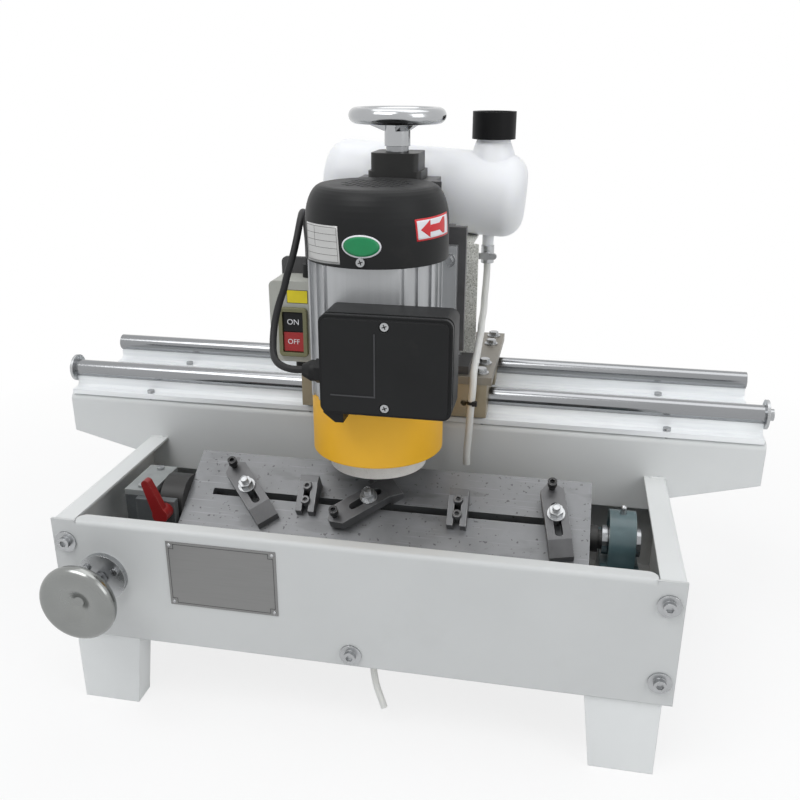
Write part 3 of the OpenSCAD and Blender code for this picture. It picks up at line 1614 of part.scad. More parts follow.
module clamp_bolt(k) {
  seat = strap_lift + strap_t;
  color("silver") place() at_clamp(k) {
    translate([0, 0, -tee_deep]) cylinder(h = stud_top + tee_deep, d = stud_d);
    rotate([0, 0, -clamp_angles[k]]) translate([0, 0, -tee_deep - slide_gap - tee_h])
      linear_extrude(tee_h) square(tee_w - 2 * clear, center = true);
    translate([0, 0, -tee_deep - slide_gap - over]) cylinder(h = 2 * over, d = stud_d);
    translate([0, 0, seat]) difference() {
      union() {
        cylinder(h = clamp_flange_h, d = clamp_flange_d);
        hex(clamp_nut_h + clamp_flange_h, clamp_nut_d);
      }
      translate([0, 0, -over]) cylinder(h = clamp_nut_h + clamp_flange_h + 2 * over, d = stud_d);
    }
  }
}

module clamp_left_strap() clamp_strap(0);
module clamp_left_bolt() clamp_bolt(0);
module clamp_middle_strap() clamp_strap(1);
module clamp_middle_bolt() clamp_bolt(1);
module clamp_right_strap() clamp_strap(2);
module clamp_right_bolt() clamp_bolt(2);

// A forked stop with two cap screws in its slot
module knife_stop(k) {
  back = slot_v + stop_block_l / 2;
  side = [[0, 0], [stop_block_l, 0], [stop_block_l, stop_block_h],
          [stop_block_l - stop_flat, stop_block_h], [0, stop_front_h]];
  slope = (stop_block_h - stop_front_h) / (stop_block_l - stop_flat);
  function seat(s) = stop_front_h + slope * (s * stop_block_l - stop_cap_d / 2);
  color("#303030") place() on_table() translate([stop_us[k], back - stop_block_l, table_rise]) {
    difference() {
      translate([-stop_block_w / 2, 0, 0]) rotate([90, 0, 90]) linear_extrude(stop_block_w) polygon(side);
      block([-stop_slot_w / 2, -over, -over],
            [stop_slot_w, stop_block_l - stop_flat + over, stop_block_h + 2 * over]);
      for (s = stop_screw_vs_share) translate([0, s * stop_block_l, seat(s)])
        cylinder(h = stop_block_h, d = stop_cap_d + 2 * bolt_gap);
    }
    for (s = stop_screw_vs_share) translate([0, s * stop_block_l, 0]) {
      cylinder(h = seat(s), d = stop_shank_d);
      translate([0, 0, seat(s)]) socket_head(stop_cap_h, stop_cap_d);
    }
  }
}

module stop_left() knife_stop(0);
module stop_right() knife_stop(1);

front_panel();
side_walls();
tray();
rear_beam();
legs();
rail_supports();
rail_shafts();
rail_screws();
frame_bolts();
nameplate();
worm_flange();
gearbox_body();
gearbox_lid();
pillow_block();
pillow_bearing();
drain_hose();
carriage_plate();
bearing_blocks();
carriage_bolts();
column();
screw_housing();
tank_bracket();
tank();
valve_body();
coolant_hose();
tank_cap();
valve_tap();
saddle();
lift_nut();
motor_body();
stator();
fan_cover();
terminal_box();
terminal_cover();
motor_bolts();
wheel_guard();
switch_box();
cable_glands();
motor_cable();
on_button();
off_button();
lead_screw();
lift_handwheel();
motor_shaft();
cooling_fan();
grinding_wheel();
table();
trunnions();
worm_wheel();
worm_shaft();
tilt_handwheel();
lock_lever();
clamp_left_strap();
clamp_left_bolt();
clamp_middle_strap();
clamp_middle_bolt();
clamp_right_strap();
clamp_right_bolt();
stop_left();
stop_right();
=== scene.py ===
"""Looks of the planer knife grinder: camera, cords, finishes, labels and small details."""

import math

import bmesh
import bpy
from mathutils import Matrix, Vector


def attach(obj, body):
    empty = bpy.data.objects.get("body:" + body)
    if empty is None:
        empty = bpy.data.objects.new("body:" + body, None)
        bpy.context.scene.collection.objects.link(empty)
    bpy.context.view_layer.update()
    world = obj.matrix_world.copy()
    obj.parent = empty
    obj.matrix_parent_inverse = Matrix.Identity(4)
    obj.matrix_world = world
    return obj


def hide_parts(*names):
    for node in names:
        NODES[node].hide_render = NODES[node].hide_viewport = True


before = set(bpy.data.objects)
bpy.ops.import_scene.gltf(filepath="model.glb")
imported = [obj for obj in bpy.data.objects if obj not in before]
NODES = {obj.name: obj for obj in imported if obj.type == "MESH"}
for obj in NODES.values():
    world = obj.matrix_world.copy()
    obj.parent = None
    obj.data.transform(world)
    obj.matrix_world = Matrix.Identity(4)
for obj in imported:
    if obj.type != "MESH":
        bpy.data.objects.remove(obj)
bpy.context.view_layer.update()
scene = bpy.context.scene
scene.view_settings.view_transform = "Standard"

MM = 0.001
# Distance from the front panel's face to the row frame's origin, in millimetres
MID_Y = 165.0


def at(x, y, z):
    """A point measured in millimetres from the front panel, as a point of the row frame in metres."""
    return Vector((x * MM, (y - MID_Y) * MM, z * MM))


# Camera

# The photograph's camera: its lens and sensor in millimetres, its place in metres, and its turns
LENS, SENSOR = 38.97, 36.0
CAMERA_PLACE = (0.1801, -0.8502, 0.6273)
YAW, PITCH, ROLL = (math.radians(a) for a in (10.89, 20.48, 0.21))


def make_camera():
    data = bpy.data.cameras.new("camera")
    data.lens = LENS
    data.sensor_width = SENSOR
    data.clip_start = 0.01
    cam = bpy.data.objects.new("camera", data)
    scene.collection.objects.link(cam)
    look = Vector((-math.sin(YAW) * math.cos(PITCH), math.cos(YAW) * math.cos(PITCH), -math.sin(PITCH)))
    right = Vector((math.cos(YAW), math.sin(YAW), 0.0))
    up = right.cross(look)
    right, up = (right * math.cos(ROLL) + up * math.sin(ROLL), up * math.cos(ROLL) - right * math.sin(ROLL))
    turn = Matrix((right, up, -look)).transposed().to_4x4()
    cam.matrix_world = Matrix.Translation(CAMERA_PLACE) @ turn
    scene.camera = cam


make_camera()


# Finishes


class Graph:
    """A material's node tree, with short calls to add and link nodes."""

    def __init__(self, name):
        self.material = bpy.data.materials.new(name)
        self.material.use_nodes = True
        self.tree = self.material.node_tree
        self.tree.nodes.clear()
        self.out = self.add("ShaderNodeOutputMaterial")
        self.place = self.add("ShaderNodeTexCoord").outputs["Object"]

    def add(self, kind, **sockets):
        node = self.tree.nodes.new(kind)
        for key, value in sockets.items():
            node.inputs[key.replace("_", " ")].default_value = value
        return node

    def link(self, source, target):
        self.tree.links.new(source, target)

    def stretched(self, scale, turn=(0.0, 0.0, 0.0)):
        node = self.add("ShaderNodeMapping", Scale=scale, Rotation=turn)
        self.link(self.place, node.inputs["Vector"])
        return node.outputs["Vector"]

    def noise(self, scale, vector=None, detail=4.0, rough=0.55):
        node = self.add("ShaderNodeTexNoise", Scale=scale, Detail=detail, Roughness=rough)
        self.link(vector or self.place, node.inputs["Vector"])
        return node.outputs["Fac"]

    def ramp(self, source, stops):
        node = self.add("ShaderNodeValToRGB")
        points = node.color_ramp.elements
        while len(points) < len(stops):
            points.new(0.5)
        for point, (where, colour) in zip(points, stops):
            point.position = where
            point.color = (*colour, 1.0)
        self.link(source, node.inputs["Fac"])
        return node.outputs["Color"]

    def level(self, source, low, high, start=0.3, end=0.7):
        node = self.add("ShaderNodeMapRange")
        node.inputs["From Min"].default_value = start
        node.inputs["From Max"].default_value = end
        node.inputs["To Min"].default_value = low
        node.inputs["To Max"].default_value = high
        self.link(source, node.inputs["Value"])
        return node.outputs["Result"]

    def times(self, a, b):
        node = self.add("ShaderNodeMath")
        node.operation = "MULTIPLY"
        self.link(a, node.inputs[0])
        self.link(b, node.inputs[1])
        return node.outputs["Value"]

    def mix(self, share, a, colour):
        node = self.add("ShaderNodeMix")
        node.data_type = "RGBA"
        self.link(share, node.inputs[0])
        self.link(a, node.inputs[6])
        node.inputs[7].default_value = (*colour, 1.0)
        return node.outputs[2]

    def rounded(self, radius):
        node = self.add("ShaderNodeBevel", Radius=radius)
        node.samples = 4
        return node.outputs["Normal"]

    def edges(self, radius, low=0.02, high=0.22):
        """Near 1 along the solid's edges, and 0 on its faces."""
        dot = self.add("ShaderNodeVectorMath")
        dot.operation = "DOT_PRODUCT"
        self.link(self.rounded(radius), dot.inputs[0])
        self.link(self.add("ShaderNodeNewGeometry").outputs["Normal"], dot.inputs[1])
        return self.level(dot.outputs["Value"], 1.0, 0.0, 1.0 - high, 1.0 - low)


def shade(colour, share):
    return tuple(min(1.0, max(0.0, c * share)) for c in colour)


def finish(name, colour, rough, metal=0.0, spread=0.05, blotch=18.0, uneven=0.06, grain=900.0, bump=0.08,
           depth=0.0002, edge=0.0006, wear=None, worn=0.6, stretch=(1.0, 1.0, 1.0), speckle=(),
           scratch=(), coat=0.0, gloss=0.5, see_in=0.0, grime=None, above=None):
    """A surface with uneven colour and gloss, a fine grain, softened edges, and wear where asked for."""
    g = Graph(name)
    bsdf = g.add("ShaderNodeBsdfPrincipled", Metallic=metal)
    bsdf.inputs["Specular IOR Level"].default_value = gloss
    bsdf.inputs["Coat Weight"].default_value = coat
    bsdf.inputs["Coat Roughness"].default_value = 0.18
    if see_in:
        bsdf.inputs["Subsurface Weight"].default_value = see_in
        bsdf.inputs["Subsurface Radius"].default_value = (0.02 * see_in, 0.02 * see_in, 0.018 * see_in)
    g.link(bsdf.outputs["BSDF"], g.out.inputs["Surface"])
    lay = g.stretched(stretch)
    clouds = g.noise(blotch, lay)
    fine = g.noise(grain, lay, 6.0, 0.6)
    tint = g.ramp(clouds, [(0.28, shade(colour, 1.0 - spread)), (0.72, shade(colour, 1.0 + spread))])
    for size, limit, flake in speckle:
        tint = g.mix(g.level(g.noise(size, None, 2.0, 0.4), 0.0, 1.0, limit, limit + 0.03), tint, flake)
    for scale, turn, limit, mark in scratch:
        lines = g.noise(1.0, g.stretched(scale, turn), 3.0, 0.5)
        tint = g.mix(g.level(lines, 0.0, 0.8, limit, limit + 0.06), tint, mark)
    if grime:
        size, limit, stain = grime
        tint = g.mix(g.level(g.noise(size, None, 5.0, 0.65), 0.0, 0.55, limit, limit + 0.2), tint, stain)
    if above:
        normal, height, top = above
        over = g.add("ShaderNodeVectorMath")
        over.operation = "DOT_PRODUCT"
        g.link(g.place, over.inputs[0])
        over.inputs[1].default_value = normal
        tint = g.mix(g.level(over.outputs["Value"], 0.0, 1.0, height, height + 0.0002), tint, top)
    if wear:
        rub = g.times(g.edges(2.2 * edge), g.level(g.noise(130.0, None, 5.0, 0.7), 0.0, worn, 0.38, 0.66))
        tint = g.mix(rub, tint, wear)
    g.link(tint, bsdf.inputs["Base Color"])
    g.link(g.level(clouds, rough - uneven, rough + uneven), bsdf.inputs["Roughness"])
    relief = g.add("ShaderNodeBump", Strength=bump, Distance=depth)
    g.link(fine, relief.inputs["Height"])
    g.link(g.rounded(edge), relief.inputs["Normal"])
    g.link(relief.outputs["Normal"], bsdf.inputs["Normal"])
    return g.material


PAINT = (0.775, 0.79, 0.785)
# The table's pivot, its tilt and upward direction at rest, and its face above the pivot in millimetres
TABLE_PIVOT = at(0, 116, 187)
TABLE_TILT = math.radians(33.0)
TABLE_UP = Vector((0.0, -math.sin(TABLE_TILT), math.cos(TABLE_TILT)))
TABLE_RISE = 16.0
# The jack screws are black from just above the straps' tops, at this height above the table's face
BLACK_FROM = 18.3
STRAP_TOP = TABLE_PIVOT.dot(TABLE_UP) + (TABLE_RISE + BLACK_FROM) * MM
LONG_X = (0.04, 1.0, 1.0)

# Values that the painted sheets share, and the labels
SHEET_PAINT = dict(rough=0.38, spread=0.025, blotch=9.0, grain=520.0, bump=0.10, edge=0.0014, gloss=0.4)
LABEL = dict(blotch=60.0, grain=900.0, bump=0.03, edge=0.0001)
FINISHES = {
    # All sheets carry one paint. The wall and beam copy is darkened a little as painted shade, the panel
    # copy is darker still as painted shade, and the leg copy is lightened as painted light.
    "white_paint": dict(SHEET_PAINT, colour=shade(PAINT, 0.94), grime=(7.0, 0.60, (0.60, 0.61, 0.60))),
    "panel_paint_shaded": dict(SHEET_PAINT, colour=shade(PAINT, 0.80), grime=(7.0, 0.60, (0.56, 0.57, 0.56))),
    "leg_paint_lit": dict(SHEET_PAINT, colour=shade(PAINT, 1.04), grime=(7.0, 0.60, (0.70, 0.71, 0.70))),
    # The tray's copy of the paint is darker partly as painted shade inside the tray and partly for dirt.
    # Its grime patches are real dirt.
    "tray_paint": dict(colour=shade(PAINT, 0.54), rough=0.44, spread=0.07, grain=520.0, bump=0.1,
                       edge=0.001, gloss=0.35, grime=(11.0, 0.48, (0.22, 0.21, 0.19))),
    "ground_steel": dict(colour=(0.29, 0.297, 0.307), rough=0.17, metal=1.0, spread=0.05,
                         stretch=(0.25, 1.0, 1.0), blotch=30.0, uneven=0.03, grain=260.0, bump=0.015,
                         edge=0.0005),
    "rail_alloy": dict(colour=(0.93, 0.95, 0.97), rough=0.38, metal=0.15, spread=0.05, stretch=LONG_X,
                       blotch=300.0, grain=900.0, bump=0.05, edge=0.0005),
    "zinc": dict(colour=(0.42, 0.43, 0.44), rough=0.30, metal=1.0, spread=0.14, blotch=60.0, uneven=0.09,
                 grain=1500.0, bump=0.08, edge=0.0005, wear=(0.75, 0.75, 0.75)),
    "plate_metal": dict(colour=(0.235, 0.235, 0.232), rough=0.42, metal=0.5, spread=0.05,
                        stretch=(0.03, 1.0, 1.0), blotch=700.0, grain=1600.0, bump=0.05, edge=0.0003),
    "grey_iron": dict(colour=(0.27, 0.285, 0.285), rough=0.50, metal=0.2, spread=0.16, blotch=40.0,
                      grain=420.0, bump=0.3, edge=0.0012, wear=(0.5, 0.5, 0.49)),
    "dark_iron": dict(colour=(0.115, 0.125, 0.13), rough=0.48, metal=0.2, spread=0.18, blotch=36.0,
                      grain=420.0, bump=0.3, edge=0.0012, gloss=0.35, wear=(0.34, 0.35, 0.35)),
    "green_iron": dict(colour=(0.060, 0.105, 0.115), rough=0.34, spread=0.16, blotch=50.0, grain=380.0,
                       bump=0.28, edge=0.0014, coat=0.25, wear=(0.22, 0.27, 0.26)),
    "chrome": dict(colour=(0.42, 0.43, 0.44), rough=0.17, metal=1.0, spread=0.04, blotch=30.0,
                   uneven=0.05, grain=240.0, bump=0.03, edge=0.0008),
    "satin_zinc": dict(colour=(0.27, 0.278, 0.272), rough=0.22, metal=1.0, spread=0.09, blotch=24.0,
                       uneven=0.08, grain=700.0, bump=0.06, edge=0.0008),
    "carriage_steel": dict(colour=(0.235, 0.215, 0.180), rough=0.42, metal=0.4, spread=0.14, blotch=26.0,
                           grain=600.0, bump=0.12, edge=0.0008, wear=(0.50, 0.47, 0.42)),
    "block_tan": dict(colour=(0.37, 0.315, 0.22), rough=0.40, metal=0.45, spread=0.12, blotch=34.0,
                      grain=700.0, bump=0.1, edge=0.0008, wear=(0.6, 0.55, 0.46)),
    "black_paint": dict(colour=(0.026, 0.026, 0.0255), rough=0.42, spread=0.2, blotch=30.0, grain=480.0,
                        bump=0.16, edge=0.001, gloss=0.35, wear=(0.11, 0.105, 0.10)),
    "column_paint": dict(colour=(0.070, 0.069, 0.071), rough=0.40, spread=0.2, blotch=30.0, grain=480.0,
                         bump=0.16, edge=0.001, gloss=0.4, wear=(0.15, 0.145, 0.14)),
    "hammered_grey": dict(colour=(0.72, 0.72, 0.67), rough=0.5, spread=0.08, blotch=80.0, grain=420.0,
                          bump=0.3, edge=0.0008, speckle=[(520.0, 0.54, (0.86, 0.86, 0.81)),
                          (640.0, 0.61, (0.34, 0.34, 0.30)), (610.0, 0.62, (0.48, 0.47, 0.40))]),
    "white_plastic": dict(colour=(0.88, 0.89, 0.91), rough=0.36, spread=0.02, blotch=14.0, grain=300.0,
                          bump=0.05, edge=0.004, gloss=0.4, see_in=0.7),
    "black_plastic": dict(colour=(0.0135, 0.014, 0.0145), rough=0.47, spread=0.14, blotch=20.0,
                          grain=1400.0, bump=0.14, edge=0.0012, gloss=0.19,
                          grime=(16.0, 0.60, (0.030, 0.029, 0.027))),
    "rib_plastic": dict(colour=(0.050, 0.051, 0.054), rough=0.42, spread=0.14, blotch=20.0, grain=1400.0,
                        bump=0.14, edge=0.0003, gloss=0.3),
    "cap_plastic": dict(colour=(0.0075, 0.0075, 0.008), rough=0.45, spread=0.16, blotch=26.0,
                        grain=1100.0, bump=0.14, edge=0.001, gloss=0.12,
                        grime=(22.0, 0.62, (0.018, 0.017, 0.016))),
    "motor_alloy": dict(colour=(0.46, 0.47, 0.48), rough=0.36, metal=0.6, spread=0.07,
                        stretch=(1.0, 1.0, 0.03), blotch=180.0, uneven=0.07, grain=900.0, bump=0.06,
                        edge=0.0006, grime=(18.0, 0.62, (0.30, 0.29, 0.275))),
    "copper": dict(colour=(0.44, 0.20, 0.10), rough=0.4, metal=0.9, spread=0.12, stretch=(1.0, 1.0, 12.0),
                   blotch=60.0),
    "bronze": dict(colour=(0.46, 0.33, 0.15), rough=0.36, metal=1.0, spread=0.12, blotch=40.0,
                   wear=(0.7, 0.56, 0.3)),
    "guard_yellow": dict(colour=(0.98, 0.52, 0.026), rough=0.40, spread=0.04, blotch=16.0, grain=520.0,
                         bump=0.1, edge=0.001, gloss=0.4, grime=(14.0, 0.60, (0.84, 0.46, 0.035))),
    "switch_grey": dict(colour=(0.45, 0.455, 0.415), rough=0.44, spread=0.06, blotch=40.0, grain=900.0,
                        bump=0.12, edge=0.0012, gloss=0.4, grime=(28.0, 0.57, (0.32, 0.32, 0.28))),
    "switch_olive": dict(colour=(0.185, 0.182, 0.095), rough=0.38, spread=0.08, blotch=60.0, grain=900.0,
                         bump=0.1, edge=0.0008, gloss=0.4, wear=(0.42, 0.41, 0.24)),
    "abrasive": dict(colour=(0.92, 0.90, 0.86), rough=0.86, spread=0.05, blotch=90.0, grain=1100.0,
                     bump=0.7, depth=0.0005, edge=0.0012, gloss=0.2,
                     speckle=[(1500.0, 0.62, (0.78, 0.76, 0.72)), (900.0, 0.64, (0.93, 0.92, 0.89))]),
    "table_steel": dict(colour=(0.21, 0.215, 0.222), rough=0.42, metal=0.40, spread=0.14, blotch=26.0,
                        uneven=0.1, grain=700.0, bump=0.10, edge=0.0007, wear=(0.50, 0.51, 0.52),
                        worn=0.9, speckle=[(260.0, 0.67, (0.09, 0.09, 0.095)),
                        (70.0, 0.70, (0.13, 0.13, 0.135))],
                        scratch=[((16.0, 700.0, 700.0), (0.0, 0.0, 0.03), 0.62, (0.27, 0.275, 0.285)),
                        ((14.0, 46.0, 46.0), (0.0, 0.0, 0.15), 0.60, (0.165, 0.168, 0.174))]),
    "black_oxide": dict(colour=(0.125, 0.126, 0.130), rough=0.40, metal=0.5, spread=0.16, blotch=50.0,
                        grain=900.0, bump=0.12, edge=0.0007, wear=(0.42, 0.42, 0.42), worn=0.7,
                        above=(TABLE_UP, STRAP_TOP, (0.022, 0.022, 0.023))),
    "stop_steel": dict(colour=(0.135, 0.137, 0.141), rough=0.36, metal=0.6, spread=0.16, blotch=50.0,
                       grain=900.0, bump=0.10, edge=0.0007, wear=(0.46, 0.46, 0.46), worn=0.9),
    "red_paint": dict(colour=(0.25, 0.010, 0.011), rough=0.40, spread=0.10, blotch=40.0, grain=500.0,
                      bump=0.12, edge=0.0011, gloss=0.4, wear=(0.42, 0.12, 0.10)),
    "button_red": dict(colour=(0.40, 0.021, 0.022), rough=0.36, spread=0.06, blotch=60.0, grain=700.0,
                       bump=0.08, edge=0.0008, gloss=0.4),
    "rubber": dict(colour=(0.021, 0.021, 0.022), rough=0.50, spread=0.12, blotch=40.0, grain=1400.0,
                   bump=0.1, edge=0.0004, gloss=0.25),
    "hose": dict(colour=(0.78, 0.78, 0.75), rough=0.34, spread=0.04, blotch=50.0, grain=300.0, bump=0.04,
                 edge=0.0004, see_in=0.35),
    "label_silver": dict(LABEL, colour=(0.56, 0.56, 0.55), rough=0.40, metal=0.3, spread=0.04),
    "label_line": dict(LABEL, colour=(0.05, 0.05, 0.05), rough=0.5, spread=0.1, blotch=90.0, gloss=0.3),
    "label_white": dict(LABEL, colour=(0.84, 0.84, 0.87), rough=0.36, spread=0.03),
    "label_red": dict(LABEL, colour=(0.66, 0.028, 0.035), rough=0.36, spread=0.05, gloss=0.4),
    "label_green": dict(LABEL, colour=(0.010, 0.24, 0.085), rough=0.36, spread=0.05, gloss=0.4),
    "label_yellow": dict(LABEL, colour=(0.80, 0.66, 0.02), rough=0.40, spread=0.05, gloss=0.4),
}
LOOK = {name: finish(name, **values) for name, values in FINISHES.items()}

WEARS = {
    # The wall, panel and leg looks are one paint, with painted shade and painted light.
    "white_paint": ["side_walls", "rear_beam"],
    "panel_paint_shaded": ["front_panel"],
    "leg_paint_lit": ["legs"],
    # The tray's look is the paint darkened by painted shade and dirt.
    "tray_paint": ["tray"],
    "ground_steel": ["rail_shafts", "lead_screw", "motor_shaft", "worm_shaft", "pillow_bearing"],
    "rail_alloy": ["rail_supports"],
    "zinc": ["rail_screws", "frame_bolts", "carriage_bolts", "motor_bolts", "worm_flange", "valve_body",
             "valve_tap", "clamp_left_bolt", "clamp_middle_bolt", "clamp_right_bolt"],
    "plate_metal": ["nameplate"],
    "grey_iron": ["gearbox_lid"],
    "dark_iron": ["gearbox_body"],
    "green_iron": ["pillow_block"],
    "chrome": ["lift_handwheel"],
    "satin_zinc": ["tilt_handwheel"],
    "carriage_steel": ["carriage_plate"],
    "block_tan": ["bearing_blocks"],
    "black_paint": ["screw_housing", "trunnions"],
    "column_paint": ["column", "saddle"],
    "hammered_grey": ["tank_bracket"],
    "white_plastic": ["tank"],
    "black_plastic": ["fan_cover", "terminal_box", "terminal_cover", "cable_glands", "cooling_fan",
                      "on_button"],
    "cap_plastic": ["tank_cap"],
    "motor_alloy": ["motor_body"],
    "copper": ["stator"],
    "bronze": ["lift_nut", "worm_wheel"],
    "guard_yellow": ["wheel_guard"],
    "switch_grey": ["switch_box"],
    "abrasive": ["grinding_wheel"],
    "table_steel": ["table"],
    "black_oxide": ["clamp_left_strap", "clamp_middle_strap", "clamp_right_strap"],
    "stop_steel": ["stop_left", "stop_right"],
    "red_paint": ["lock_lever"],
    "button_red": ["off_button"],
    "rubber": ["motor_cable"],
    "hose": ["coolant_hose", "drain_hose"],
}
for look, members in WEARS.items():
    for member in members:
        NODES[member].data.materials.clear()
        NODES[member].data.materials.append(LOOK[look])


# Cords

CABLE = [
    (-53.25, 50, 371), (-64.5, 50, 371), (-75, 54, 372), (-83, 60.5, 374.5), (-88.5, 69.5, 379),
    (-91.5, 78, 385.5), (-93, 85, 394), (-93, 90.5, 403.5), (-91.5, 94.5, 414), (-89, 97.5, 424),
    (-85.5, 99.5, 434.5), (-83, 101.5, 445.5), (-80, 103.5, 456), (-77.5, 107, 466), (-76, 112, 476),
    (-75.5, 118.5, 485), (-76, 126.5, 492.5), (-77.5, 136.5, 497.5), (-79.5, 147, 500), (-81.5, 158, 500),
    (-83.5, 168.5, 496.5), (-85.5, 177.5, 490.5), (-87, 185, 482), (-88, 190.5, 472.5), (-88.5, 194, 462),
    (-89, 196, 451), (-89, 196, 440),
]
HOSE = [
    (90, 318, 424.838), (90, 318, 413.838), (90, 312, 399.838), (90, 302, 386.838), (91, 286, 375.838),
    (91, 268, 366.838), (92, 250, 359.838), (92, 232, 352.838), (92, 214, 343.838), (91, 200, 330.838),
    (91, 193, 313.838), (90, 191, 295.838), (89, 191, 275.838), (88, 191, 255.838), (87, 191, 239.838),
    (87, 191, 223.838),
]
DRAIN = [
    (18, 22, 80), (18, 22, 74), (18, 22, 67), (19, 22, 58), (21, 21, 48), (24, 20, 39), (27, 19, 31),
    (29.5, 18, 24),
]


def make_cord(name, points, diameter, node, body, look):
    data = bpy.data.curves.new(name, "CURVE")
    data.dimensions = "3D"
    data.bevel_depth = diameter * MM / 2
    data.bevel_resolution = 5
    data.use_fill_caps = True
    data.resolution_u = 6
    spline = data.splines.new("BEZIER")
    spline.bezier_points.add(len(points) - 1)
    for knot, point in zip(spline.bezier_points, points):
        knot.co = at(*point)
        knot.handle_left_type = knot.handle_right_type = "AUTO"
    data.materials.append(LOOK[look])
    cord = bpy.data.objects.new(name, data)
    scene.collection.objects.link(cord)
    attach(cord, body)
    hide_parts(node)


make_cord("cable_motor", CABLE, 7.0, "motor_cable", "head", "rubber")
make_cord("hose_coolant", HOSE, 8.0, "coolant_hose", "carriage", "hose")
make_cord("hose_drain", DRAIN, 7.0, "drain_hose", "frame", "hose")


# Pieces


def piece(name, mesh, body, look, smooth=False):
    """Puts a bmesh, drawn in row-frame metres, into the scene on a CAD body."""
    bmesh.ops.recalc_face_normals(mesh, faces=mesh.faces)
    data = bpy.data.meshes.new(name)
    mesh.to_mesh(data)
    mesh.free()
    for face in data.polygons:
        face.use_smooth = smooth
    data.materials.append(LOOK[look])
    obj = bpy.data.objects.new(name, data)
    scene.collection.objects.link(obj)
    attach(obj, body)


def box_outline(x0, x1, z0, z1):
    return [(x0, z0), (x1, z0), (x1, z1), (x0, z1)]


def slab(mesh, outline, back_y, front_y):
    """A thin plate that faces the front: an (x, z) outline between two distances from the front panel."""
    low = [mesh.verts.new(at(x, back_y, z)) for x, z in outline]
    high = [mesh.verts.new(at(x, front_y, z)) for x, z in outline]
    mesh.faces.new(low)
    mesh.faces.new(high)
    for i in range(len(outline)):
        k = (i + 1) % len(outline)
        mesh.faces.new((low[i], low[k], high[k], high[i]))


# Turns a shape that is drawn lying flat so that it faces the front
FACE_FRONT = Matrix.Rotation(math.pi / 2, 4, "X")


def turned(mesh, profile, place, steps):
    """A closed ring profile (radius, height), in millimetres, turned about the local Z of a matrix."""
    rings = []
    for s in range(steps):
        a = 2 * math.pi * s / steps
        c, n = math.cos(a), math.sin(a)
        rings.append([mesh.verts.new(place @ Vector((r * MM * c, r * MM * n, h * MM))) for r, h in profile])
    for s in range(steps):
        one, two = rings[s], rings[(s + 1) % steps]
        for i in range(len(profile)):
            k = (i + 1) % len(profile)
            mesh.faces.new((one[i], one[k], two[k], two[i]))


# The motor's axis, and the fan cover's side and crown, which its labels follow
MOTOR_Y = 132.0
COVER_R, COVER_SIDE, COVER_CROWN, COVER_FLAT = 69.0, 497.0, 36.0, 0.76


def cover_radius(z):
    rise = max(0.0, z - COVER_SIDE) / COVER_CROWN
    flat = COVER_R * COVER_FLAT
    return flat + (COVER_R - flat) * math.sqrt(max(0.0, 1.0 - rise * rise))


def on_cover(angle, z, proud):
    r = cover_radius(z) + proud
    a = math.radians(angle)
    return at(r * math.sin(a), MOTOR_Y - r * math.cos(a), z)


def between(corners, u, v):
    """The angle and height at shares u and v of a label's width and height."""
    (a0, z0), (a1, z1), (a2, z2), (a3, z3) = corners
    angle = (a0 * (1 - u) + a1 * u) * (1 - v) + (a3 * (1 - u) + a2 * u) * v
    height = (z0 * (1 - u) + z1 * u) * (1 - v) + (z3 * (1 - u) + z2 * u) * v
    return angle, height


def cover_patch(name, look, corners, low, high):
    """A label on the fan cover, as a bent grid between four corners (angle, height)."""
    mesh = bmesh.new()
    grid = {}
    count, rows = 18, 9
    for side, proud in ((0, low), (1, high)):
        for i in range(count + 1):
            for k in range(rows + 1):
                grid[side, i, k] = mesh.verts.new(on_cover(*between(corners, i / count, k / rows), proud))
    for side in (0, 1):
        for i in range(count):
            for k in range(rows):
                mesh.faces.new([grid[side, i + a, k + b] for a, b in ((0, 0), (1, 0), (1, 1), (0, 1))])
    border = ([(i, 0) for i in range(count)] + [(count, k) for k in range(rows)]
              + [(i, rows) for i in range(count, 0, -1)] + [(0, k) for k in range(rows, 0, -1)])
    for one, two in zip(border, border[1:] + border[:1]):
        mesh.faces.new((grid[0, *one], grid[0, *two], grid[1, *two], grid[1, *one]))
    piece(name, mesh, "head", look, True)


def inset(corners, u, v):
    """Four corners pulled in by shares u and v of the label's width and height."""
    return [between(corners, *p) for p in ((u, v), (1 - u, v), (1 - u, 1 - v), (u, 1 - v))]


# How far the back and the front of a label's lower and upper layer stand off what they lie on
UNDER, OVER = (0.02, 0.2), (0.1, 0.3)

SPEC = [(-59.2, 501.1), (-18.8, 502.2), (-16.9, 467.9), (-57.3, 466.0)]
cover_patch("label_rating", "label_silver", SPEC, low=0.02, high=0.22)


def label_rules():
    """Plain rule lines of the bare rating label."""
    mesh = bmesh.new()
    corners = inset(SPEC, 0.035, 0.05)
    wide, low, high = 0.35, 0.18, 0.3

    def strip(u0, v0, u1, v1):
        count = 12
        last = None
        level = abs(u1 - u0) > abs(v1 - v0)
        for i in range(count + 1):
            t = i / count
            angle, height = between(corners, u0 + (u1 - u0) * t, v0 + (v1 - v0) * t)
            da, dz = (0.0, wide / 2) if level else (math.degrees(wide / 2 / COVER_R), 0.0)
            ring = [mesh.verts.new(on_cover(angle + s * da, height + s * dz, p)) for s, p in
                    ((-1, low), (1, low), (1, high), (-1, high))]
            if last:
                for k in range(4):
                    n = (k + 1) % 4
                    mesh.faces.new((last[k], last[n], ring[n], ring[k]))
            else:
                mesh.faces.new(ring)
            last = ring
        mesh.faces.new(last)

    for v in (0.0, 0.2, 0.4, 0.6, 0.8, 1.0):
        strip(0.0, v, 1.0, v)
    for u, end in ((0.0, 1.0), (1.0, 1.0), (0.36, 0.6)):
        strip(u, 0.0, u, end)
    piece("label_rating_rules", mesh, "head", "label_line")


label_rules()


